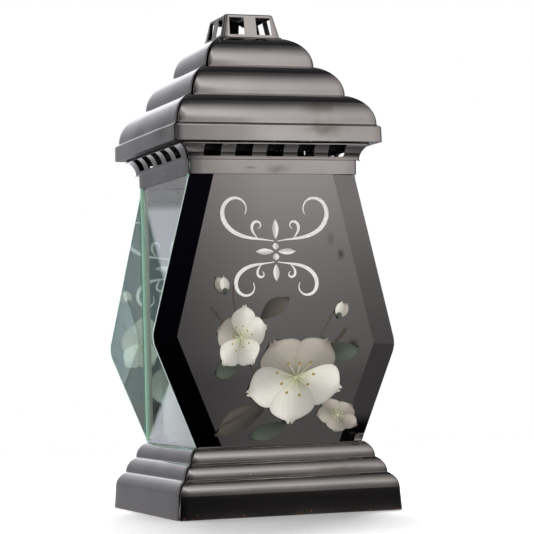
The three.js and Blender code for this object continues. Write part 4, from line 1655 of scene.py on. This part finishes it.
def grey_stops(pairs, place_of):
    """Colour stops in the order of their place on the ramp, from pairs of (degrees, brightness)."""
    return sorted((place_of(degrees), (grey, grey, grey, 1)) for degrees, grey in pairs)


room = bpy.data.worlds.new("studio")
scene.world = room
room.use_nodes = True
tree = room.node_tree
tree.nodes.clear()
toward = add_node(tree, "TexCoord").outputs["Generated"]
parts = add_node(tree, "SeparateXYZ", {0: toward}).outputs
ahead = add_node(tree, "Math", {0: parts["Y"], 1: -1}, operation="MULTIPLY")
azimuth = add_node(tree, "Math", {0: parts["X"], 1: ahead}, operation="ARCTAN2")
elevation = add_node(tree, "Math", {0: parts["Z"]}, operation="ARCSINE")
round_share = add_node(tree, "MapRange", {"Value": azimuth, "From Min": -math.pi, "From Max": math.pi})
straight_up = math.pi / 2
up_share = add_node(
    tree, "MapRange", {"Value": elevation, "From Min": -straight_up, "From Max": straight_up}
)
halves = []
for round_grades, round_place, up_grades, power in (
    (front_round, lambda degrees: degrees / 360 + 0.5, front_up, front_power),
    (back_round, lambda degrees: (1 - degrees / 360) % past_full, back_up, back_power),
):
    round_stops = grey_stops(round_grades, round_place)
    up_stops = grey_stops(up_grades, lambda degrees: degrees / 180 + 0.5)
    strip = add_node(tree, "ValToRGB", {"Fac": round_share}, stops=round_stops)
    rise = add_node(tree, "ValToRGB", {"Fac": up_share}, stops=up_stops)
    light = add_node(tree, "MixRGB", {"Fac": 1, "Color1": strip, "Color2": rise}, blend_type="MULTIPLY")
    halves.append(add_node(tree, "VectorMath", {0: light, 1: power}, operation="MULTIPLY"))
both_halves = add_node(tree, "VectorMath", {0: halves[0], 1: halves[1]}, operation="ADD")
beside = add_node(tree, "Math", {0: azimuth, 1: math.radians(-screen_middle)}, operation="ADD")
apart = add_node(tree, "Math", {0: beside}, operation="ABSOLUTE")
path = add_node(tree, "LightPath").outputs
screen_part = path["Is Singular Ray"]
for along, outer, inner in (
    (apart, screen_half + side_fade, screen_half - side_fade),
    (elevation, screen_head + head_fade, screen_head - head_fade),
    (elevation, screen_foot - foot_fade, screen_foot + foot_fade),
):
    fade_range = {"Value": along, "From Min": math.radians(outer), "From Max": math.radians(inner)}
    edge_fade = add_node(tree, "MapRange", fade_range)
    screen_part = add_node(tree, "Math", {0: screen_part, 1: edge_fade}, operation="MULTIPLY")
screen = add_node(tree, "VectorMath", {0: screen_light, "Scale": screen_part}, operation="SCALE")
dusky = add_node(tree, "VectorMath", {0: both_halves, 1: dusk_light}, operation="ADD")
room_light = add_node(tree, "VectorMath", {0: dusky, 1: screen}, operation="ADD")
mirrored = add_node(tree, "Background", {"Color": room_light, "Strength": 1})
plain = add_node(tree, "Background", {"Color": white, "Strength": 1})
soft_or_mirrored = add_node(tree, "MixShader", {0: path["Is Glossy Ray"], 1: plain, 2: mirrored})
seen = add_node(
    tree, "Math", {0: path["Is Camera Ray"], 1: path["Is Transmission Ray"]}, operation="MAXIMUM"
)
all_rays = add_node(tree, "MixShader", {0: seen, 1: soft_or_mirrored, 2: plain})
add_node(tree, "OutputWorld", {"Surface": all_rays})
